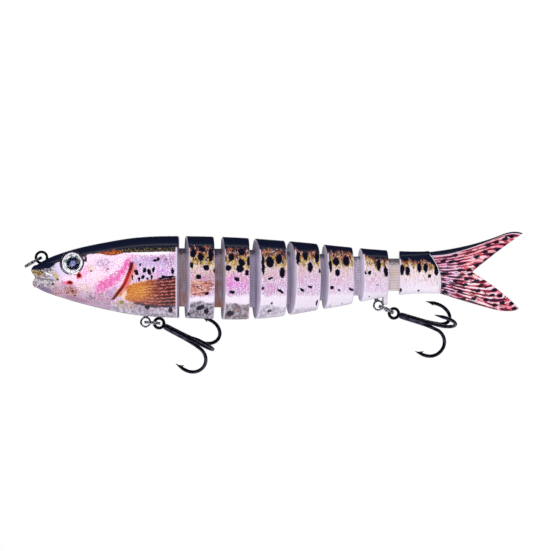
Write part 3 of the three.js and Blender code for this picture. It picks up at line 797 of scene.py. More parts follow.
def clear_plastic():
    """The bare end faces of a shell: see-through plastic, greyer than the print, with painted shade that
    darkens them towards the seam, deep in the gap by the hinge strip.
    """
    paint = Paint("clear_plastic", Roughness=0.28, Coat_Weight=0.7, Coat_Roughness=0.05)
    tall = paint.noise(0.9, (1.0, 2.2, 0.1), 3, 0.6)
    grain = paint.noise(2.4, (1, 1, 0.4), 3, 0.7)
    # painted shade: darker near the seam, deep in the gap beside the hinge strip, lighter out at the flank's
    # edge
    edge = abs(paint.y).rise(0.8, 5.2)
    colour = paint.mix(edge, (176, 164, 192), (240, 232, 246))
    colour = paint.mix(tall.rise(0.48, 0.62) * 0.8, colour, (250, 242, 250))
    colour = paint.mix(tall.rise(0.46, 0.36) * 0.6, colour, (128, 114, 142))
    colour = paint.mix(grain.rise(0.52, 0.66) * 0.45, colour, (176, 150, 170))
    colour = paint.mix(paint.z.rise(3.5, 9.5) * 0.6, colour, (88, 82, 112))
    colour = paint.mix(paint.x.rise(58.0, 100.0) * 0.5, colour, (255, 250, 255))
    paint.bump(grain, 0.03)
    return paint.show(colour)


def steel():
    paint = Paint("bright_steel", Metallic=1.0, Roughness=0.16)
    wear = paint.noise(2.5, detail=3, rough=0.6)
    colour = paint.mix(wear.rise(0.44, 0.56), (84, 82, 98), (250, 250, 255))
    return paint.show(colour, 0.1 + wear * 0.16)


def black_nickel():
    paint = Paint("black_nickel", Metallic=1.0, Roughness=0.16)
    wear = paint.noise(1.6, (0.5, 1, 1), 3, 0.6)
    colour = paint.mix(wear.rise(0.4, 0.7), (34, 32, 48), (82, 80, 96))
    return paint.show(colour, 0.05 + wear * 0.1)


def lead():
    paint = Paint("cast_lead", Metallic=0.8, Roughness=0.5)
    grain = paint.noise(1.5, detail=4, rough=0.6)
    paint.bump(grain, 0.05)
    return paint.show(paint.mix(grain.rise(0.35, 0.65), (86, 90, 96), (136, 140, 146)))


# height at which the paint dust on each strip starts
WEB_DUST = {1: 7.0, 2: 6.6, 3: 6.8, 4: 6.4, 5: 5.8, 6: 5.4, 7: 4.2}


def web_cloth(number):
    """Ribbed woven strip: grey, with dark paint dust at its top edge and, low on the first two strips, a
    painted reflection of the orange print on the shells beside them.
    """
    paint = Paint(f"web_cloth_{number}", Roughness=0.85, Sheen_Weight=0.3)
    warm = {1: (186, 152, 140), 2: (178, 140, 124), 7: (248, 220, 200)}.get(number, (206, 194, 220))
    base = {7: (252, 244, 248), 6: (238, 228, 242)}.get(number, (196, 186, 206))
    blotch = paint.noise(0.9, (1.4, 1, 0.35), 4, 0.7)
    colour = paint.mix(blotch.rise(0.4, 0.6), base, warm)
    height = paint.z - MIDDLE_HEIGHT
    # painted reflection: the orange print of the shells beside strips 1 and 2, low on the strip
    strength = {1: 0.5, 2: 0.85}.get(number)
    if strength:
        print_reflection = height.rise(-0.5, -6.5) * blotch.rise(0.36, 0.54) * strength
        colour = paint.mix(print_reflection, colour, (192, 122, 74))
    rib = paint.math("SINE", height * (2 * math.pi / RIB_PITCH))
    colour = paint.mix(rib.rise(0.2, -0.9) * 0.5, colour, (120, 110, 132))
    dust = paint.noise(3.0, detail=3, rough=0.7)
    dusted = (height + dust.swing(2.0)).rise(WEB_DUST[number] - 1.2, WEB_DUST[number])
    colour = paint.mix(dusted * 0.85, colour, (34, 34, 58))
    paint.bump(paint.noise(5.0, (1, 1, 2), 2, 0.6), 0.05)
    return paint.show(colour)


def eye_print(word):
    """Printed eye: dark pupil with a painted highlight, silver iris with green flecks, white and dark rings;
    the outer dark ring is partly printed and partly painted shade of the pocket's wall.
    """
    paint = Paint(f"{word}_eye_print", Roughness=0.2, Coat_Weight=1.0, Coat_Roughness=0.02)
    disc = paint.vector("MULTIPLY", paint.place, (1, 1, 0))
    far = paint.vector("LENGTH", disc)
    rear = 0.3 if word == "left" else -0.38
    pupil = paint.vector("LENGTH", paint.vector("ADD", disc, (-rear, 0.22, 0)))
    foil = paint.noise(1.0, detail=3, rough=0.65, at=disc, shift=3.0)
    ragged = pupil + paint.noise(1.1, detail=2, at=disc).swing(0.35)
    colour = paint.mix(foil.rise(0.38, 0.52), (150, 158, 172), (255, 255, 255))
    green = ragged.band(1.75, 2.2, 0.2) * foil.rise(0.56, 0.46)
    colour = paint.mix(green, colour, (38, 104, 100))
    colour = paint.mix(ragged.rise(1.82, 1.66), colour, (8, 9, 30))
    # painted highlight: the pale bluish spot in the pupil stands in for the lens reflecting a lamp
    colour = paint.mix(ragged.rise(0.95, 0.5) * 0.85, colour, (150, 158, 226))
    colour = paint.mix(far.band(2.14, 2.24, 0.06) * 0.8, colour, (92, 84, 104))
    colour = paint.mix(far.rise(2.28, 2.34), colour, (255, 250, 255))
    # the outer dark ring is partly printed and partly painted shade of the wall of the eye's pocket
    colour = paint.mix(far.rise(2.62, 2.7), colour, (14, 12, 32))
    return paint.show(colour)


def eye_resin():
    """The clear dome over the printed eye."""
    paint = Paint("eye_resin", Roughness=0.02, Transmission_Weight=1.0, IOR=1.4)
    return paint.show(paint.mix(paint.noise(0.4), (250, 250, 255), (255, 255, 255)))


FIN_SPOTS = [
    (15.3, 9.7), (13.0, 8.9), (14.1, 6.2), (9.8, 5.6), (12.4, 4.7), (9.8, 3.2), (7.7, 1.9), (2.7, 4.2),
    (3.8, 6.0), (0.4, 4.4), (5.2, 1.9), (0.5, 0.8), (8.0, 0.7), (9.8, -1.1), (11.0, -2.4), (4.1, -1.1),
    (6.4, -2.2), (10.2, -3.8), (14.6, -3.7), (14.1, -5.1), (16.3, -5.3), (0.4, -2.5), (0.8, -4.2),
    (5.2, -4.1), (6.0, -6.2), (14.9, -7.8), (19.7, -7.4), (20.3, -8.8), (17.8, 10.6), (19.6, 11.3),
    (16.0, 7.4), (12.2, 7.0), (11.0, 1.2), (7.0, -0.6), (12.4, -6.4), (9.0, -6.0), (17.0, -7.2),
]


def fin_rubber():
    """Soft tail: pale and dark red rays that fan out from the root, dark spots and a dark upper edge."""
    paint = Paint("fin_rubber", Roughness=0.4, Specular_IOR_Level=0.2, Coat_Weight=0.3)
    paint.shader.inputs["Subsurface Weight"].default_value = 0.05
    paint.shader.inputs["Subsurface Radius"].default_value = (1.0, 0.4, 0.4)
    paint.shader.inputs["Subsurface Scale"].default_value = 0.3 * MM
    across = paint.value("Attribute", "Fac", {"attribute_name": "across"})
    under = paint.value("Attribute", "Fac", {"attribute_name": "under"})
    along = paint.x - FIN_ROOT
    place = paint.value("CombineXYZ", "Vector", X=along * 0.3, Y=across * 22.0)
    rays = paint.noise(1.0, detail=2, rough=0.5, at=place)
    fine = paint.noise(1.7, (0.8, 1, 1), 3, 0.65, place, 4.0)
    cloud = paint.cloud(0.35, (1, 1, 1.6), 3, 0.6, 12.0)
    rib = paint.math("SINE", across * (2 * math.pi * FIN_RIBS))
    tone = rib * 0.11 + rays.swing(0.42) + fine.swing(0.3)
    root = along.rise(7.5, 1.5)
    light = paint.mix(cloud.rise(0.42, 0.58), (246, 160, 186), (255, 216, 206))
    light = paint.mix(fine.rise(0.46, 0.56), light, (255, 238, 246))
    light = paint.mix(root * 0.7, light, (224, 206, 244))
    upper = across.rise(0.5, 0.2)
    light = paint.mix(upper * 0.45, light, (246, 122, 146))
    dark = paint.mix(cloud.rise(0.56, 0.44), (140, 16, 36), (52, 22, 56))
    dark = paint.mix(root, dark, (34, 26, 58))
    middle = paint.mix(cloud.rise(0.4, 0.6), (208, 60, 84), (222, 92, 112))
    colour = paint.mix(tone.rise(-0.1, -0.03), dark, middle)
    colour = paint.mix(tone.rise(-0.02, 0.06), colour, light)
    dash = paint.noise(1.3, (1.1, 0.8, 1), 3, 0.6, place, 17.0)
    dashed = (dash + root * 0.05).rise(0.585, 0.625)
    colour = paint.mix(dashed * 0.9, colour, (48, 16, 46))
    near = paint.nearest(warped(paint, 0.5), [(FIN_ROOT + x, z, 0.9, 0.5, -8) for x, z in FIN_SPOTS])
    colour = paint.mix(near.rise(1.15, 0.8), colour, (34, 10, 36))
    low_edge = across.rise(0.93, 0.97) * fine.rise(0.48, 0.56)
    colour = paint.mix(low_edge * along.rise(12.0, 8.0), colour, (36, 32, 62))
    thick = along.curve([(-3, 1.3), (8, 1.35), (16, 1.0), (20, 0.75), (23, 0.35)])
    below = under - thick
    colour = paint.mix(below.band(0.0, 0.32, 0.07) * 0.9, colour, (252, 222, 236))
    colour = paint.mix(below.band(0.5, 0.62, 0.08) * 0.7, colour, (120, 30, 60))
    colour = paint.mix(below.rise(0.06, -0.06), colour, NAVY)
    return paint.show(colour)


# ---------- body shells ----------

def half_section(x, side, inset=0.0):
    """One side of the body's section at x: from the belly round to the back, and down the seam."""
    top, bottom, half = outline(x)
    middle = 0.08 * (top + bottom)
    angle = np.linspace(-QUARTER, QUARTER, SECTION_STEPS + 1)[1:-1]
    height = np.where(angle > 0, top - middle, middle - bottom)
    y = SEAM + (half - SEAM) * np.cos(angle) ** FULLNESS
    z = middle + height * np.sin(angle)
    if inset:
        dy, dz = np.gradient(y), np.gradient(z)
        long = np.hypot(dy, dz)
        y, z = y - inset * dz / long, z + inset * dy / long
    y = np.maximum(y, SEAM)
    low, high = bottom + inset + SEAM_CHAMFER, top - inset - SEAM_CHAMFER
    y = np.concatenate([[SEAM], y, np.full(SEAM_STEPS, SEAM)])
    z = np.concatenate([[low], z, np.linspace(high, low, SEAM_STEPS, endpoint=False)])
    return np.stack([np.full_like(y, x), side * y, z], axis=1)


def rounded_end(x, side, radius, inward, lean, steps=5):
    """Rings from an end face's rounded edge onto the flank; inward is +1 at the front, -1 behind."""
    rings = []
    for k in range(steps):
        angle = QUARTER * k / steps
        ring = half_section(x + inward * radius, side, radius * (1 - math.sin(angle)))
        ring[:, 0] = x + inward * radius * (1 - math.cos(angle)) + lean(ring)
        rings.append(ring)
    return rings


def end_face(ring, lean):
    """Flat rings that close an end face, from its edge in to its middle."""
    middle = np.array([0, ring[0, 1], 0.5 * (ring[0, 2] + ring[SECTION_STEPS, 2])])
    x = ring[0, 0] - lean(ring)[0]
    rings = []
    for share in (0.96, 0.7, 0.4, 0.1):
        inner = middle + share * (ring - middle)
        inner[:, 0] = x + lean(inner)
        rings.append(inner)
    return rings


def shell_half(start, end, side, front_lean, rear_lean, front_round=END_ROUND, front_steps=5, spacing=0.5):
    """One half of a body segment: (flank part, end face parts)."""
    front = rounded_end(start, side, front_round, 1, front_lean, front_steps)
    rear = rounded_end(end, side, END_ROUND, -1, rear_lean)[::-1]
    count = max(4, round((end - start - front_round - END_ROUND) / spacing))
    body = []
    for x in np.linspace(start + front_round, end - END_ROUND, count + 1):
        ring = half_section(x, side)
        lean = front_lean(ring) * max(0.0, 1 - (x - start) / LEAN_REACH)
        lean += rear_lean(ring) * max(0.0, 1 - (end - x) / LEAN_REACH)
        ring[:, 0] += lean
        body.append(ring)
    return [
        lofted(front + body + rear, 0, cap_start=False, cap_end=False),
        lofted(end_face(front[0], front_lean)[::-1] + [front[0]], 1, cap_end=False),
        lofted([rear[-1]] + end_face(rear[-1], rear_lean), 1, cap_start=False),
    ]


def upright(ring):
    return np.zeros(len(ring))


def leans_back(ring):
    return np.abs(ring[:, 1]) * END_LEAN


def leans_forward(ring):
    return -np.abs(ring[:, 1]) * END_LEAN


def tail_arc(ring):
    return -((ring[:, 2] - TAIL_ARC[0]) ** 2) / TAIL_ARC[1]


def shaped(part, move):
    """A part with its points moved by a function of an array of points."""
    points, faces, slot = part
    return move(np.array(points)), faces, slot


def hump(value, middle, width):
    """1 where the value is at the middle, falling smoothly to 0 on both sides."""
    return np.exp(-(((value - middle) / width) ** 2))


def head_form(points):
    """The head's own relief: open mouth, groove of the mouth and edge of the gill cover."""
    x, y, z = points.T.copy()
    side = np.sign(y)
    outer = np.clip((np.abs(y) - SEAM) / 0.6, 0, 1)
    fade = hump(x, 0, 2.4)
    notch = 0.85 * hump(z, -0.15, 0.95) * fade
    lip = 0.25 * hump(z, 1.9, 0.7) * fade - 0.15 * hump(z, -2.1, 0.6) * fade
    groove = hump(z, -0.2 - 0.125 * x, 0.26) * np.clip((6.4 - x) / 1.6, 0, 1)
    gill_x = np.interp(z, [g[0] for g in GILL], [g[1] for g in GILL])
    inside = np.clip((z + 7.5) / 1.5, 0, 1) * np.clip((5.4 - z) / 1.5, 0, 1)
    gill = hump(x, gill_x, 0.3) * inside - 0.6 * hump(x, gill_x - 1.0, 0.8) * inside
    y = y - side * outer * (0.5 * groove + 0.16 * gill)
    return np.stack([x + notch - lip, y, z], axis=1)


def head_shells(plastic):
    """The head's two halves; their skin has one material for each stretch, after the end plastic."""
    skins = [head_skin(*zone) for zone in HEAD_ZONES]
    for side, word in SIDES:
        parts = shell_half(
            0.0, HEAD_LENGTH, side, upright, leans_forward,
            front_round=NOSE_ROUND, front_steps=8, spacing=0.28,
        )
        parts = [shaped(part, head_form) for part in parts]
        parts[1] = (*parts[1][:2], 0)  # the nose's end face is skin too
        shell = built(f"head_{word}_shell_visual", parts, [skins[0], plastic] + skins[1:], PLACE["head"])
        cut_round(shell, eye_axis(word), EYE_RADIUS, EYE_POCKET)
        for face in shell.data.polygons:
            if face.material_index == 0:
                zone = sum(face.center.x / MM > stop for _, _, stop in HEAD_ZONES)
                face.material_index = (0, 2, 3)[zone]  # slot 1 holds the end plastic
        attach(shell, "head")
        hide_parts(f"head_{word}_shell")


def eye_axis(word):
    """Frame of an eye, from its disc in the CAD model: origin on the disc, z axis out of the head."""
    mesh = frame["nodes"][f"{word}_eye_disc"].data
    points = np.array([v.co for v in mesh.vertices])
    centre = points.mean(axis=0)
    normal = np.linalg.svd(points - centre)[2][2]
    out = Vector(normal if normal[1] * centre[1] > 0 else -normal)
    across = Vector((0, 0, 1)).cross(out).normalized()
    matrix = Matrix([across, out.cross(across), out]).transposed().to_4x4()
    matrix.translation = Vector(centre) + EYE_SHIFT * MM
    return matrix


def cut_round(obj, axis, radius, depth):
    """Cuts a round pocket, whose floor is depth under the surface, along an axis frame."""
    floor = EYE_SURFACE - depth
    cutter = built("cutter", [turned([(radius, floor), (radius, floor + 6)])], [], axis)
    modifier = obj.modifiers.new("pocket", "BOOLEAN")
    modifier.operation = "DIFFERENCE"
    modifier.solver = "EXACT"
    modifier.object = cutter
    bpy.context.view_layer.update()
    evaluated = obj.evaluated_get(bpy.context.evaluated_depsgraph_get())
    carved = bpy.data.meshes.new_from_object(evaluated)
    obj.modifiers.clear()
    obj.data = carved
    bpy.data.objects.remove(cutter)
    shade(obj, 32.0)


def eye_pieces(word):
    axis = eye_axis(word)
    floor = EYE_SURFACE - EYE_POCKET + 0.05
    disc_top = EYE_SURFACE - EYE_DISC_SUNK
    disc = turned([
        (EYE_PRINT_RADIUS - 0.05, floor + 0.3), (EYE_PRINT_RADIUS, floor + 0.35),
        (EYE_PRINT_RADIUS, disc_top - 0.06), (EYE_PRINT_RADIUS - 0.06, disc_top),
        (2.4, disc_top + 0.02), (1.6, disc_top + 0.05), (1.4, disc_top + 0.12), (0.7, disc_top + 0.16),
    ])
    print_piece = built(f"{word}_eye_disc_visual", [disc], [eye_print(word)], axis, 50)
    low = disc_top + 0.22
    dome = [(EYE_PRINT_RADIUS - 0.05, low), (EYE_PRINT_RADIUS, low + 0.05)]
    for k in range(1, 13):
        angle = QUARTER * k / 13
        dome.append((EYE_PRINT_RADIUS * math.cos(angle), low + 0.05 + 1.05 * math.sin(angle)))
    lens = built(f"{word}_eye_lens_visual", [turned(dome)], [eye_resin()], axis, 60)
    lens.visible_shadow = False
    for piece, node, slot in ((print_piece, "disc", "eye_print"), (lens, "lens", "eye_lens")):
        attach(piece, "head")
        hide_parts(f"{word}_eye_{node}")


def hanger_lug(side):
    """Half of the clear lug under segment 7 that steadies the rear hook's hanger."""
    rings = []
    for z, grow in ((-5.2, 0.0), (-7.3, 0.0), (-7.65, -0.12), (-7.8, -0.35)):
        x0, x1, y0, y1 = 99.2 - grow, 100.3 + grow, SEAM, 1.2 + grow
        rings.append([(x0, side * y0, z), (x1, side * y0, z), (x1, side * y1, z), (x0, side * y1, z)])
    return lofted(rings, 1)


def body_segments(plastic):
    for name in BODIES[1:]:
        start, end = SPAN[name]
        rear = tail_arc if name == "tail" else leans_forward
        skin = segment_skin(name, SPOTS[name])
        for side, word in SIDES:
            parts = shell_half(start, end, side, leans_back, rear)
            if name == "segment_7":
                parts.append(hanger_lug(side))
            shell = built(f"{name}_{word}_shell_visual", parts, [skin, plastic], PLACE[name])
            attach(shell, name)
            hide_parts(f"{name}_{word}_shell")


# dark spots of each segment: distance from its front edge, height, half width, half height, tilt
SPOTS = {
    "segment_2": [
        (1.4, 6.6, 0.9, 1.3, 5), (3.4, 5.5, 0.85, 1.1), (4.1, 7.6, 0.9, 0.7), (6.3, 6.1, 0.75, 1.9, 5),
        (0.8, 3.3, 0.6, 0.8), (4.9, 2.6, 0.9, 0.85, 25), (2.8, 0.0, 0.8, 0.7, 20),
        (5.2, -4.6, 0.75, 0.4, -20), (3.5, -8.5, 1.2, 0.7, -20), (5.3, -9.5, 0.7, 0.8),
        (0.4, -10.4, 0.5, 0.5), (7.2, 1.7, 0.3, 0.6),
    ],
    "segment_3": [
        (5.0, 7.0, 0.95, 1.1), (2.1, 5.5, 0.85, 1.1, 5), (4.9, 4.0, 0.9, 1.1, -30), (6.9, 4.4, 0.6, 1.4, 5),
        (1.1, 2.5, 0.9, 0.85), (4.4, 2.3, 1.15, 1.1, 30), (6.3, 1.2, 0.6, 0.9), (3.5, -0.6, 0.85, 0.55, 25),
        (2.2, -4.2, 0.85, 0.5, 5), (1.9, -10.2, 1.0, 0.8), (0.4, 5.0, 0.3, 0.9),
    ],
    "segment_4": [
        (2.9, 4.1, 1.2, 1.6), (5.6, 5.0, 0.95, 1.5, 15), (6.4, 1.2, 0.85, 1.5), (0.9, 3.4, 0.45, 2.9),
        (3.0, -0.4, 0.85, 0.3, -20), (0.8, -3.1, 0.4, 0.55, 10), (5.9, -3.9, 1.05, 0.4, 28),
        (3.6, -7.3, 0.3, 0.4), (3.3, -9.5, 0.6, 0.35, -15),
    ],
    "segment_5": [
        (0.9, 5.3, 0.6, 1.9, 8), (3.1, 6.2, 0.8, 1.7), (6.6, 5.7, 0.7, 1.9, 8), (4.3, 2.8, 0.8, 1.5),
        (1.9, -3.6, 0.85, 0.4, 35), (4.3, -2.8, 0.65, 0.35, 15), (7.1, 1.6, 0.3, 0.6),
        (6.8, -7.2, 0.3, 0.9),
    ],
    "segment_6": [
        (2.5, 4.3, 1.0, 1.2), (5.4, 4.5, 1.0, 1.45), (0.8, 2.9, 0.5, 1.6), (2.8, 1.2, 0.75, 1.0),
        (1.2, -3.0, 0.6, 0.5, 15), (3.2, -3.7, 0.45, 0.25, 15), (6.9, -3.5, 0.8, 0.45, 30),
        (4.8, -7.5, 0.25, 0.2),
    ],
    "segment_7": [
        (4.5, 3.3, 0.6, 1.8, 5), (6.5, 1.5, 0.65, 1.5, -8), (1.7, 1.2, 0.5, 0.6, 30),
        (4.0, -2.2, 0.35, 0.2), (2.1, -5.5, 0.25, 0.25), (0.6, 1.1, 0.25, 0.5),
    ],
    "tail": [
        (0.8, 2.0, 0.65, 1.6), (2.3, 1.7, 0.7, 1.3), (5.6, 2.6, 0.65, 1.4), (7.4, 2.6, 0.65, 1.4),
        (10.4, 1.9, 0.6, 1.6), (8.5, 0.3, 0.55, 0.5), (0.4, -3.7, 0.3, 0.55), (5.4, -3.8, 0.3, 0.35),
    ],
}


# ---------- hinge strips ----------

def hinge_webs():
    reach = HEAD_LENGTH
    for number, gap in enumerate(GAPS, start=1):
        before, after = BODIES[number - 1], BODIES[number]
        hinge = reach + gap / 2
        reach = SPAN[after][1]
        low, high = joint(f"body_hinge_{number}")["range_deg"]
        bend = -math.radians((low + high) / 2)
        top, bottom, _ = outline(hinge)
        top, bottom = 0.7 * top, 0.72 * bottom
        xs = np.linspace(hinge - gap / 2 - WEB_FLAP, hinge + gap / 2 + WEB_FLAP, 40)
        zs = np.linspace(bottom, top, 150)
        rings = []
        for z in zs:
            edge = min(1.0, math.sqrt(max(min(z - bottom, top - z), 0.0) / 0.25) + 0.15)
            across = 2 * math.pi * z / WEFT_PITCH
            weave = np.cos(2 * math.pi * xs / WARP_PITCH) * math.cos(across)
            half = WEB_HALF * edge * (0.8 + 0.12 * math.cos(2 * across) + 0.12 * weave)
            share = np.clip((xs - hinge) / gap + 0.5, 0, 1)
            turn = bend * share**2 * (3 - 2 * share)
            ring = []
            for sign, order in ((-1, slice(None)), (1, slice(None, None, -1))):
                dx, y = xs[order] - hinge, (sign * half)[order]
                c, s = np.cos(turn[order]), np.sin(turn[order])
                ring.append(np.stack([hinge + dx * c - y * s, dx * s + y * c, np.full_like(dx, z)], axis=1))
            rings.append(np.concatenate(ring))
        web = built(f"hinge_web_{number}_visual", [lofted(rings)], [web_cloth(number)], PLACE[before], 60)
        reach_out = Vector((gap / 2 * MM, 0, 0))
        start = PLACE[before] @ (Vector((hinge * MM, 0, 0)) - reach_out)
        stop = PLACE[after] @ (Vector((hinge * MM, 0, 0)) + reach_out)
        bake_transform(web)
        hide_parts(f"hinge_web_{number}")


# ---------- tail fin ----------

def bezier(a, b, c, t):
    a, b, c = (np.array(p, float) for p in (a, b, c))
    return (1 - t) ** 2 * a + 2 * t * (1 - t) * b + t**2 * c


def two_curves(first, second, t):
    return bezier(*first, t * 2) if t < 0.5 else bezier(*second, t * 2 - 1)


def fin_point(u, v):
    """Point of the fin's flat shape: u from the root to the rear edge, v from the top down."""
    def root(share):
        z = 7.0 - 11.6 * share
        return np.array([-((z - TAIL_ARC[0]) ** 2) / TAIL_ARC[1], z])

    rear = two_curves([FIN_TIP_HIGH, (15.5, 7.2), FIN_NOTCH], [FIN_NOTCH, (16.0, -3.0), FIN_TIP_LOW], v)
    top = two_curves([root(0), (8, 8.2), (17.2, 12)], [(17.2, 12), (20.5, 13.2), FIN_TIP_HIGH], u)
    low = two_curves([root(1), (8, -7.4), (16, -9.4)], [(16, -9.4), (21.4, -10), FIN_TIP_LOW], u)
    line = (1 - u) * root(v) + u * rear
    top_swell = top - ((1 - u) * root(0) + u * np.array(FIN_TIP_HIGH))
    low_swell = low - ((1 - u) * root(1) + u * np.array(FIN_TIP_LOW))
    return line + (1 - v) ** 2 * top_swell + v**2 * low_swell


def tail_fin():
    us = 1 - (1 - np.linspace(0, 1, 72)) ** 1.25
    vs = np.linspace(0, 1, 181)
    flat = np.array([[fin_point(u, v) for v in vs] for u in us])
    from_top = np.linalg.norm(flat - flat[:, :1], axis=2)
    from_low = np.linalg.norm(flat - flat[:, -1:], axis=2)
    from_rear = np.linalg.norm(flat - flat[-1:], axis=2)
    edge = np.minimum(np.minimum(from_top, from_low), from_rear)
    round_edge = np.sqrt(np.clip(1 - (1 - np.clip(edge / 0.55, 0, 1)) ** 2, 0, 1))
    thin = FIN_THICK + (FIN_THIN - FIN_THICK) * np.clip((flat[..., 0] - 0.5) / 21, 0, 1) ** 0.8
    fade = np.clip(edge / 1.2, 0, 1) * np.clip(1.3 - flat[..., 0] / 22, 0.3, 1)
    ridges = 0.13 * fade * np.sin(2 * math.pi * FIN_RIBS * vs)[None, :]
    half = np.maximum((thin + ridges) * round_edge, 0.01)
    points, faces = [], []
    rows, count = half.shape
    for side, _ in SIDES:
        for i in range(rows):
            for j in range(count):
                points.append((FIN_ROOT + flat[i, j, 0], side * half[i, j], flat[i, j, 1]))
    total = rows * count
    for i in range(rows - 1):
        for j in range(count - 1):
            a = i * count + j
            faces.append((a, a + 1, a + count + 1, a + count))
            faces.append((total + a, total + a + count, total + a + count + 1, total + a + 1))
    rim = [(0, j) for j in range(count)] + [(i, count - 1) for i in range(1, rows)]
    rim += [(rows - 1, j) for j in range(count - 2, -1, -1)] + [(i, 0) for i in range(rows - 2, 0, -1)]
    rim = [i * count + j for i, j in rim]
    for a, b in zip(rim, rim[1:] + rim[:1]):
        faces.append((a, b, total + b, total + a))
    fin = built("tail_fin_visual", [(points, faces, 0)], [fin_rubber()], PLACE["tail"], 60)
    for key, values in (("across", np.tile(vs, rows)), ("under", from_top.ravel())):
        attribute = fin.data.attributes.new(key, "FLOAT", "POINT")
        attribute.data.foreach_set("value", np.tile(values, 2).astype(np.float32))
    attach(fin, "tail")
    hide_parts("tail_fin")


# ---------- wire ----------

TIE_EYE = (2.65, 5.43, 1.55)  # x, z and radius of the line tie's eye, then of its anchor
ANCHOR_RADIUS = 1.05
TIE_ANCHOR = (7.95, 0.13, ANCHOR_RADIUS)
TIE_WIRE = 0.37  # radius of the wire
# each hook hanger: its body, its eye like the line tie's, and how far aft of the eye its anchor is
HANGERS = (("front", "head", (31.65, -12.55, 1.3), 0.0), ("rear", "segment_7", (97.9, -7.95, 1.3), -1.7))
HANGER_RISE = 5.2
HANGER_WIRE = 0.28
NOSE_RING_DOWN = 29
RING_DOWN = {"front": 5, "rear": 26.5}
SHANK_DOWN = {"front": 27.5, "rear": 16}
HOOK_ROLL = {"front": -6, "rear": -15}
RING_RADIUS = {"nose": 2.55, "front": 2.1, "rear": 2.1}


def eyelet(node, body, eye, anchor, wire, metal):
    """One bent wire: an eye outside, two legs side by side into the body, and an eye that anchors it."""
    (x, z, radius), (x2, z2, radius2) = eye, anchor
    way = np.array([x2 - x, 0, z2 - z])
    way /= np.linalg.norm(way)
    across = np.array([-way[2], 0, way[0]])
    parts = [
        tube(circle(radius, 56, (x, 0, z)), wire, (0, 1, 0), closed=True),
        tube(circle(radius2, 40, (x2, 0, z2)), wire, (0, 1, 0), closed=True),
    ]
    for beside in (-wire * across, wire * across):
        leg = [
            (x, 0, z) + way * radius * 0.98 + beside * 1.9,
            (x, 0, z) + way * (radius + 0.5) + beside,
            (x, 0, z) + way * (radius + 1.2) + beside,
            (x2, 0, z2) - way * radius2 * 0.98 + beside,
        ]
        parts.append(tube(smooth_path(leg), wire, (0, 1, 0)))
    piece = built(f"{node}_visual", parts, [metal], PLACE[body], 50)
    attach(piece, body)
    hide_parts(node)


def split_ring(word, body, heading, down, metal):
    """Two turns of flattened wire side by side, with a step where one turn crosses to the other."""
    radius = RING_RADIUS[word]
    turn = np.linspace(math.radians(8), 4 * math.pi - math.radians(8), 180)
    side = np.tanh((turn - 2 * math.pi) / 0.22)
    path = np.stack([radius * np.cos(turn), radius * np.sin(turn), 0.21 * side], axis=1)
    width = np.full(len(path), 0.27)
    width[:3], width[-3:] = (0.14, 0.21, 0.25), (0.25, 0.21, 0.14)
    low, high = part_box(f"{word}_split_ring")
    place = Matrix.Translation((low + high) / 2) @ Matrix.Rotation(heading, 4, "Z")
    place = place @ Matrix.Rotation(math.radians(down), 4, "Y") @ Matrix.Rotation(math.radians(100), 4, "Z")
    ring = built(f"{word}_split_ring_visual", [tube(path, width, (0, 0, 1), squash=0.76)], [metal], place, 50)
    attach(ring, body)
    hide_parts(f"{word}_split_ring")


HOOK = {"eye": 1.35, "wire": 0.5, "length": 12.6, "reach": 9.0, "bend": 4.0, "point": 9.3}


def prong(angle):
    """One hook: its share of the shank, the round bend and the spear with its barb."""
    out = np.array([0, math.cos(angle), math.sin(angle)])
    square = np.cross((1, 0, 0), out)
    wire, length, far, bend, point = HOOK["wire"], HOOK["length"], HOOK["reach"], HOOK["bend"], HOOK["point"]
    centre = far - bend
    flat = [(1.9, 0.42), (3.6, 0.5), (6.2, 0.53), (8.6, 0.58), (10.8, 0.72)]
    begin = math.radians(-78)
    for k in range(13):
        turn = begin + (QUARTER - begin) * k / 12
        flat.append((length + bend * math.cos(turn), centre + bend * math.sin(turn)))
    flat += [(11.3, far - 0.06), (point, far - 0.35)]
    flat = smooth_path(flat, 5)
    path = flat[:, :1] * np.array([1, 0, 0]) + flat[:, 1:] * out
    left = np.concatenate([[0], np.cumsum(np.linalg.norm(np.diff(path, axis=0), axis=1))])
    left = left[-1] - left
    radius = wire * np.clip(0.06 + left / 2.6, 0.06, 1) ** 0.8
    spear = tube(path, radius, square, sides=16)
    blade = []
    for a, r in ((10.2, far - 0.42), (11.65, far - 1.02), (11.35, far - 0.45), (11.0, far - 0.2)):
        blade.append(np.array([a, 0, 0]) + r * out)
    barb = lofted([[p + sign * 0.13 * square for p in blade] for sign in (-1, 1)])
    return [spear, barb]


def treble_hook(word, body, heading, metal):
    """Three brazed hooks under one wire eye: the eye at the origin, the shank along +x."""
    parts = [tube(circle(HOOK["eye"], 48), 0.44, (0, 1, 0), closed=True, sides=16)]
    core = [(1.25, 0, 0), (1.9, 0, 0), (2.7, 0, 0), (8.4, 0, 0), (9.6, 0, 0), (10.4, 0, 0)]
    parts.append(tube(core, (0.5, 0.82, 0.9, 0.9, 0.6, 0.12), (0, 1, 0), sides=18))
    for k in range(3):
        parts += prong(math.radians(60 + HOOK_ROLL[word] + 120 * k))
    place = Matrix.Translation(pivot(f"{word}_hook_swing")) @ Matrix.Rotation(heading, 4, "Z")
    place = place @ Matrix.Rotation(math.radians(SHANK_DOWN[word]), 4, "Y")
    hook = built(f"{word}_treble_hook_visual", parts, [metal], place, 45)
    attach(hook, body)
    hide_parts(f"{word}_treble_hook")


def heading_of(body):
    x_axis = PLACE[body].to_3x3() @ Vector((1, 0, 0))
    return math.atan2(x_axis.y, x_axis.x)


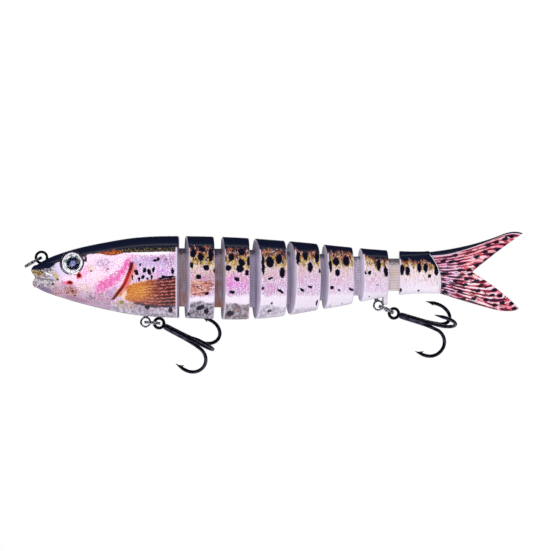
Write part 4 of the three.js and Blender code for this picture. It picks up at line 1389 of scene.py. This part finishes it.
def wire_pieces():
    bright = steel()
    nickel = black_nickel()
    eyelet("line_tie", "head", TIE_EYE, TIE_ANCHOR, TIE_WIRE, nickel)
    for word, body, eye, lean in HANGERS:
        anchor = (eye[0] + lean, eye[1] + HANGER_RISE, ANCHOR_RADIUS)
        eyelet(f"{word}_hook_hanger", body, eye, anchor, HANGER_WIRE, bright)
        turn = heading_of(body)
        split_ring(word, f"{word}_ring", turn, RING_DOWN[word], bright)
        treble_hook(word, f"{word}_hook", turn, nickel)
    split_ring("nose", "nose_ring", 0.0, 180 - NOSE_RING_DOWN, bright)


# ---------- camera, lights and floor ----------

VIEW_CENTRE = (65.15, 0.0, -5.03)  # what the camera looks at
VIEW_WIDTH = 153.4  # how much of the lure's plane the picture is wide
LENS = 800.0
SENSOR = 36.0


def camera():
    data = bpy.data.cameras.new("camera")
    data.lens = LENS
    data.sensor_width = SENSOR
    obj = bpy.data.objects.new("camera", data)
    bpy.context.scene.collection.objects.link(obj)
    far = VIEW_WIDTH * LENS / SENSOR
    obj.location = Vector(VIEW_CENTRE) * MM + Vector((0, -far * MM, 0))
    obj.rotation_euler = (QUARTER, 0, 0)
    data.clip_start = 0.05
    data.clip_end = 20
    bpy.context.scene.camera = obj


ROOM_LIGHT = (0.66, 0.66, 0.7, 1)
ROOM_GLOSS = (0.03, 0.03, 0.045, 1)
FLOOR_HEIGHT = -0.12


def softbox(name, place, size, power, mirrored=True):
    """Soft light that points at the middle of the lure; mirrored says whether gloss shows it."""
    data = bpy.data.lights.new(name, "AREA")
    data.shape = "RECTANGLE"
    data.size, data.size_y = size
    data.energy = power
    obj = bpy.data.objects.new(name, data)
    bpy.context.scene.collection.objects.link(obj)
    obj.location = place
    aim = Vector(VIEW_CENTRE) * MM - Vector(place)
    obj.rotation_euler = aim.to_track_quat("-Z", "Y").to_euler()
    obj.visible_camera = False
    obj.visible_glossy = mirrored


def studio():
    """White room: plain background, key and two fills that gloss doesn't show, and two strips it does."""
    world = bpy.data.worlds.new("studio")
    bpy.context.scene.world = world
    world.use_nodes = True
    nodes, links = world.node_tree.nodes, world.node_tree.links
    kind = nodes.new("ShaderNodeLightPath")
    shown = nodes["Background"]
    shown.inputs["Color"].default_value = ROOM_LIGHT
    for ray, colour in (("Is Glossy Ray", ROOM_GLOSS), ("Is Camera Ray", (1, 1, 1, 1))):
        other = nodes.new("ShaderNodeBackground")
        other.inputs["Color"].default_value = colour
        choose = nodes.new("ShaderNodeMixShader")
        links.new(kind.outputs[ray], choose.inputs[0])
        links.new(shown.outputs[0], choose.inputs[1])
        links.new(other.outputs[0], choose.inputs[2])
        shown = choose
    links.new(shown.outputs[0], nodes["World Output"].inputs["Surface"])
    softbox("key", (-0.12, -0.55, 0.45), (0.4, 0.3), 1.62, mirrored=False)
    softbox("front_fill", (0.3, -0.7, -0.1), (0.5, 0.5), 0.6, mirrored=False)
    softbox("left_fill", (-0.75, -0.3, 0.05), (0.5, 0.5), 1.9, mirrored=False)
    softbox("glint_strip", (0.06, -0.22, 0.6), (0.9, 0.07), 0.4)
    softbox("back_strip", (0.06, 0.6, 0.12), (0.9, 0.2), 1.0)
    bpy.context.scene.view_settings.view_transform = "Standard"
    pale_floor()


def pale_floor():
    floor_mesh = bpy.data.meshes.new("floor")
    half = 0.17
    middle = VIEW_CENTRE[0] * MM
    low, high = middle - half, middle + half
    corners = [(low, -half), (high, -half), (high, half), (low, half)]
    corners = [(x, y, FLOOR_HEIGHT) for x, y in corners]
    floor_mesh.from_pydata(corners, [], [(0, 1, 2, 3)])
    floor = bpy.data.objects.new("floor", floor_mesh)
    bpy.context.scene.collection.objects.link(floor)
    paint = Paint("floor_card", Roughness=0.9)
    grain = paint.noise(0.5, detail=4)
    floor_mesh.materials.append(paint.show(paint.mix(grain, (240, 240, 243), (248, 248, 250))))


# ---------- the lure ----------

camera()
studio()
end_plastic = clear_plastic()
head_shells(end_plastic)
for eye_side in ("left", "right"):
    eye_pieces(eye_side)
body_segments(end_plastic)
hinge_webs()
tail_fin()
wire_pieces()
ballast = frame["nodes"]["head_ballast"]
ballast.data.materials.clear()
ballast.data.materials.append(lead())
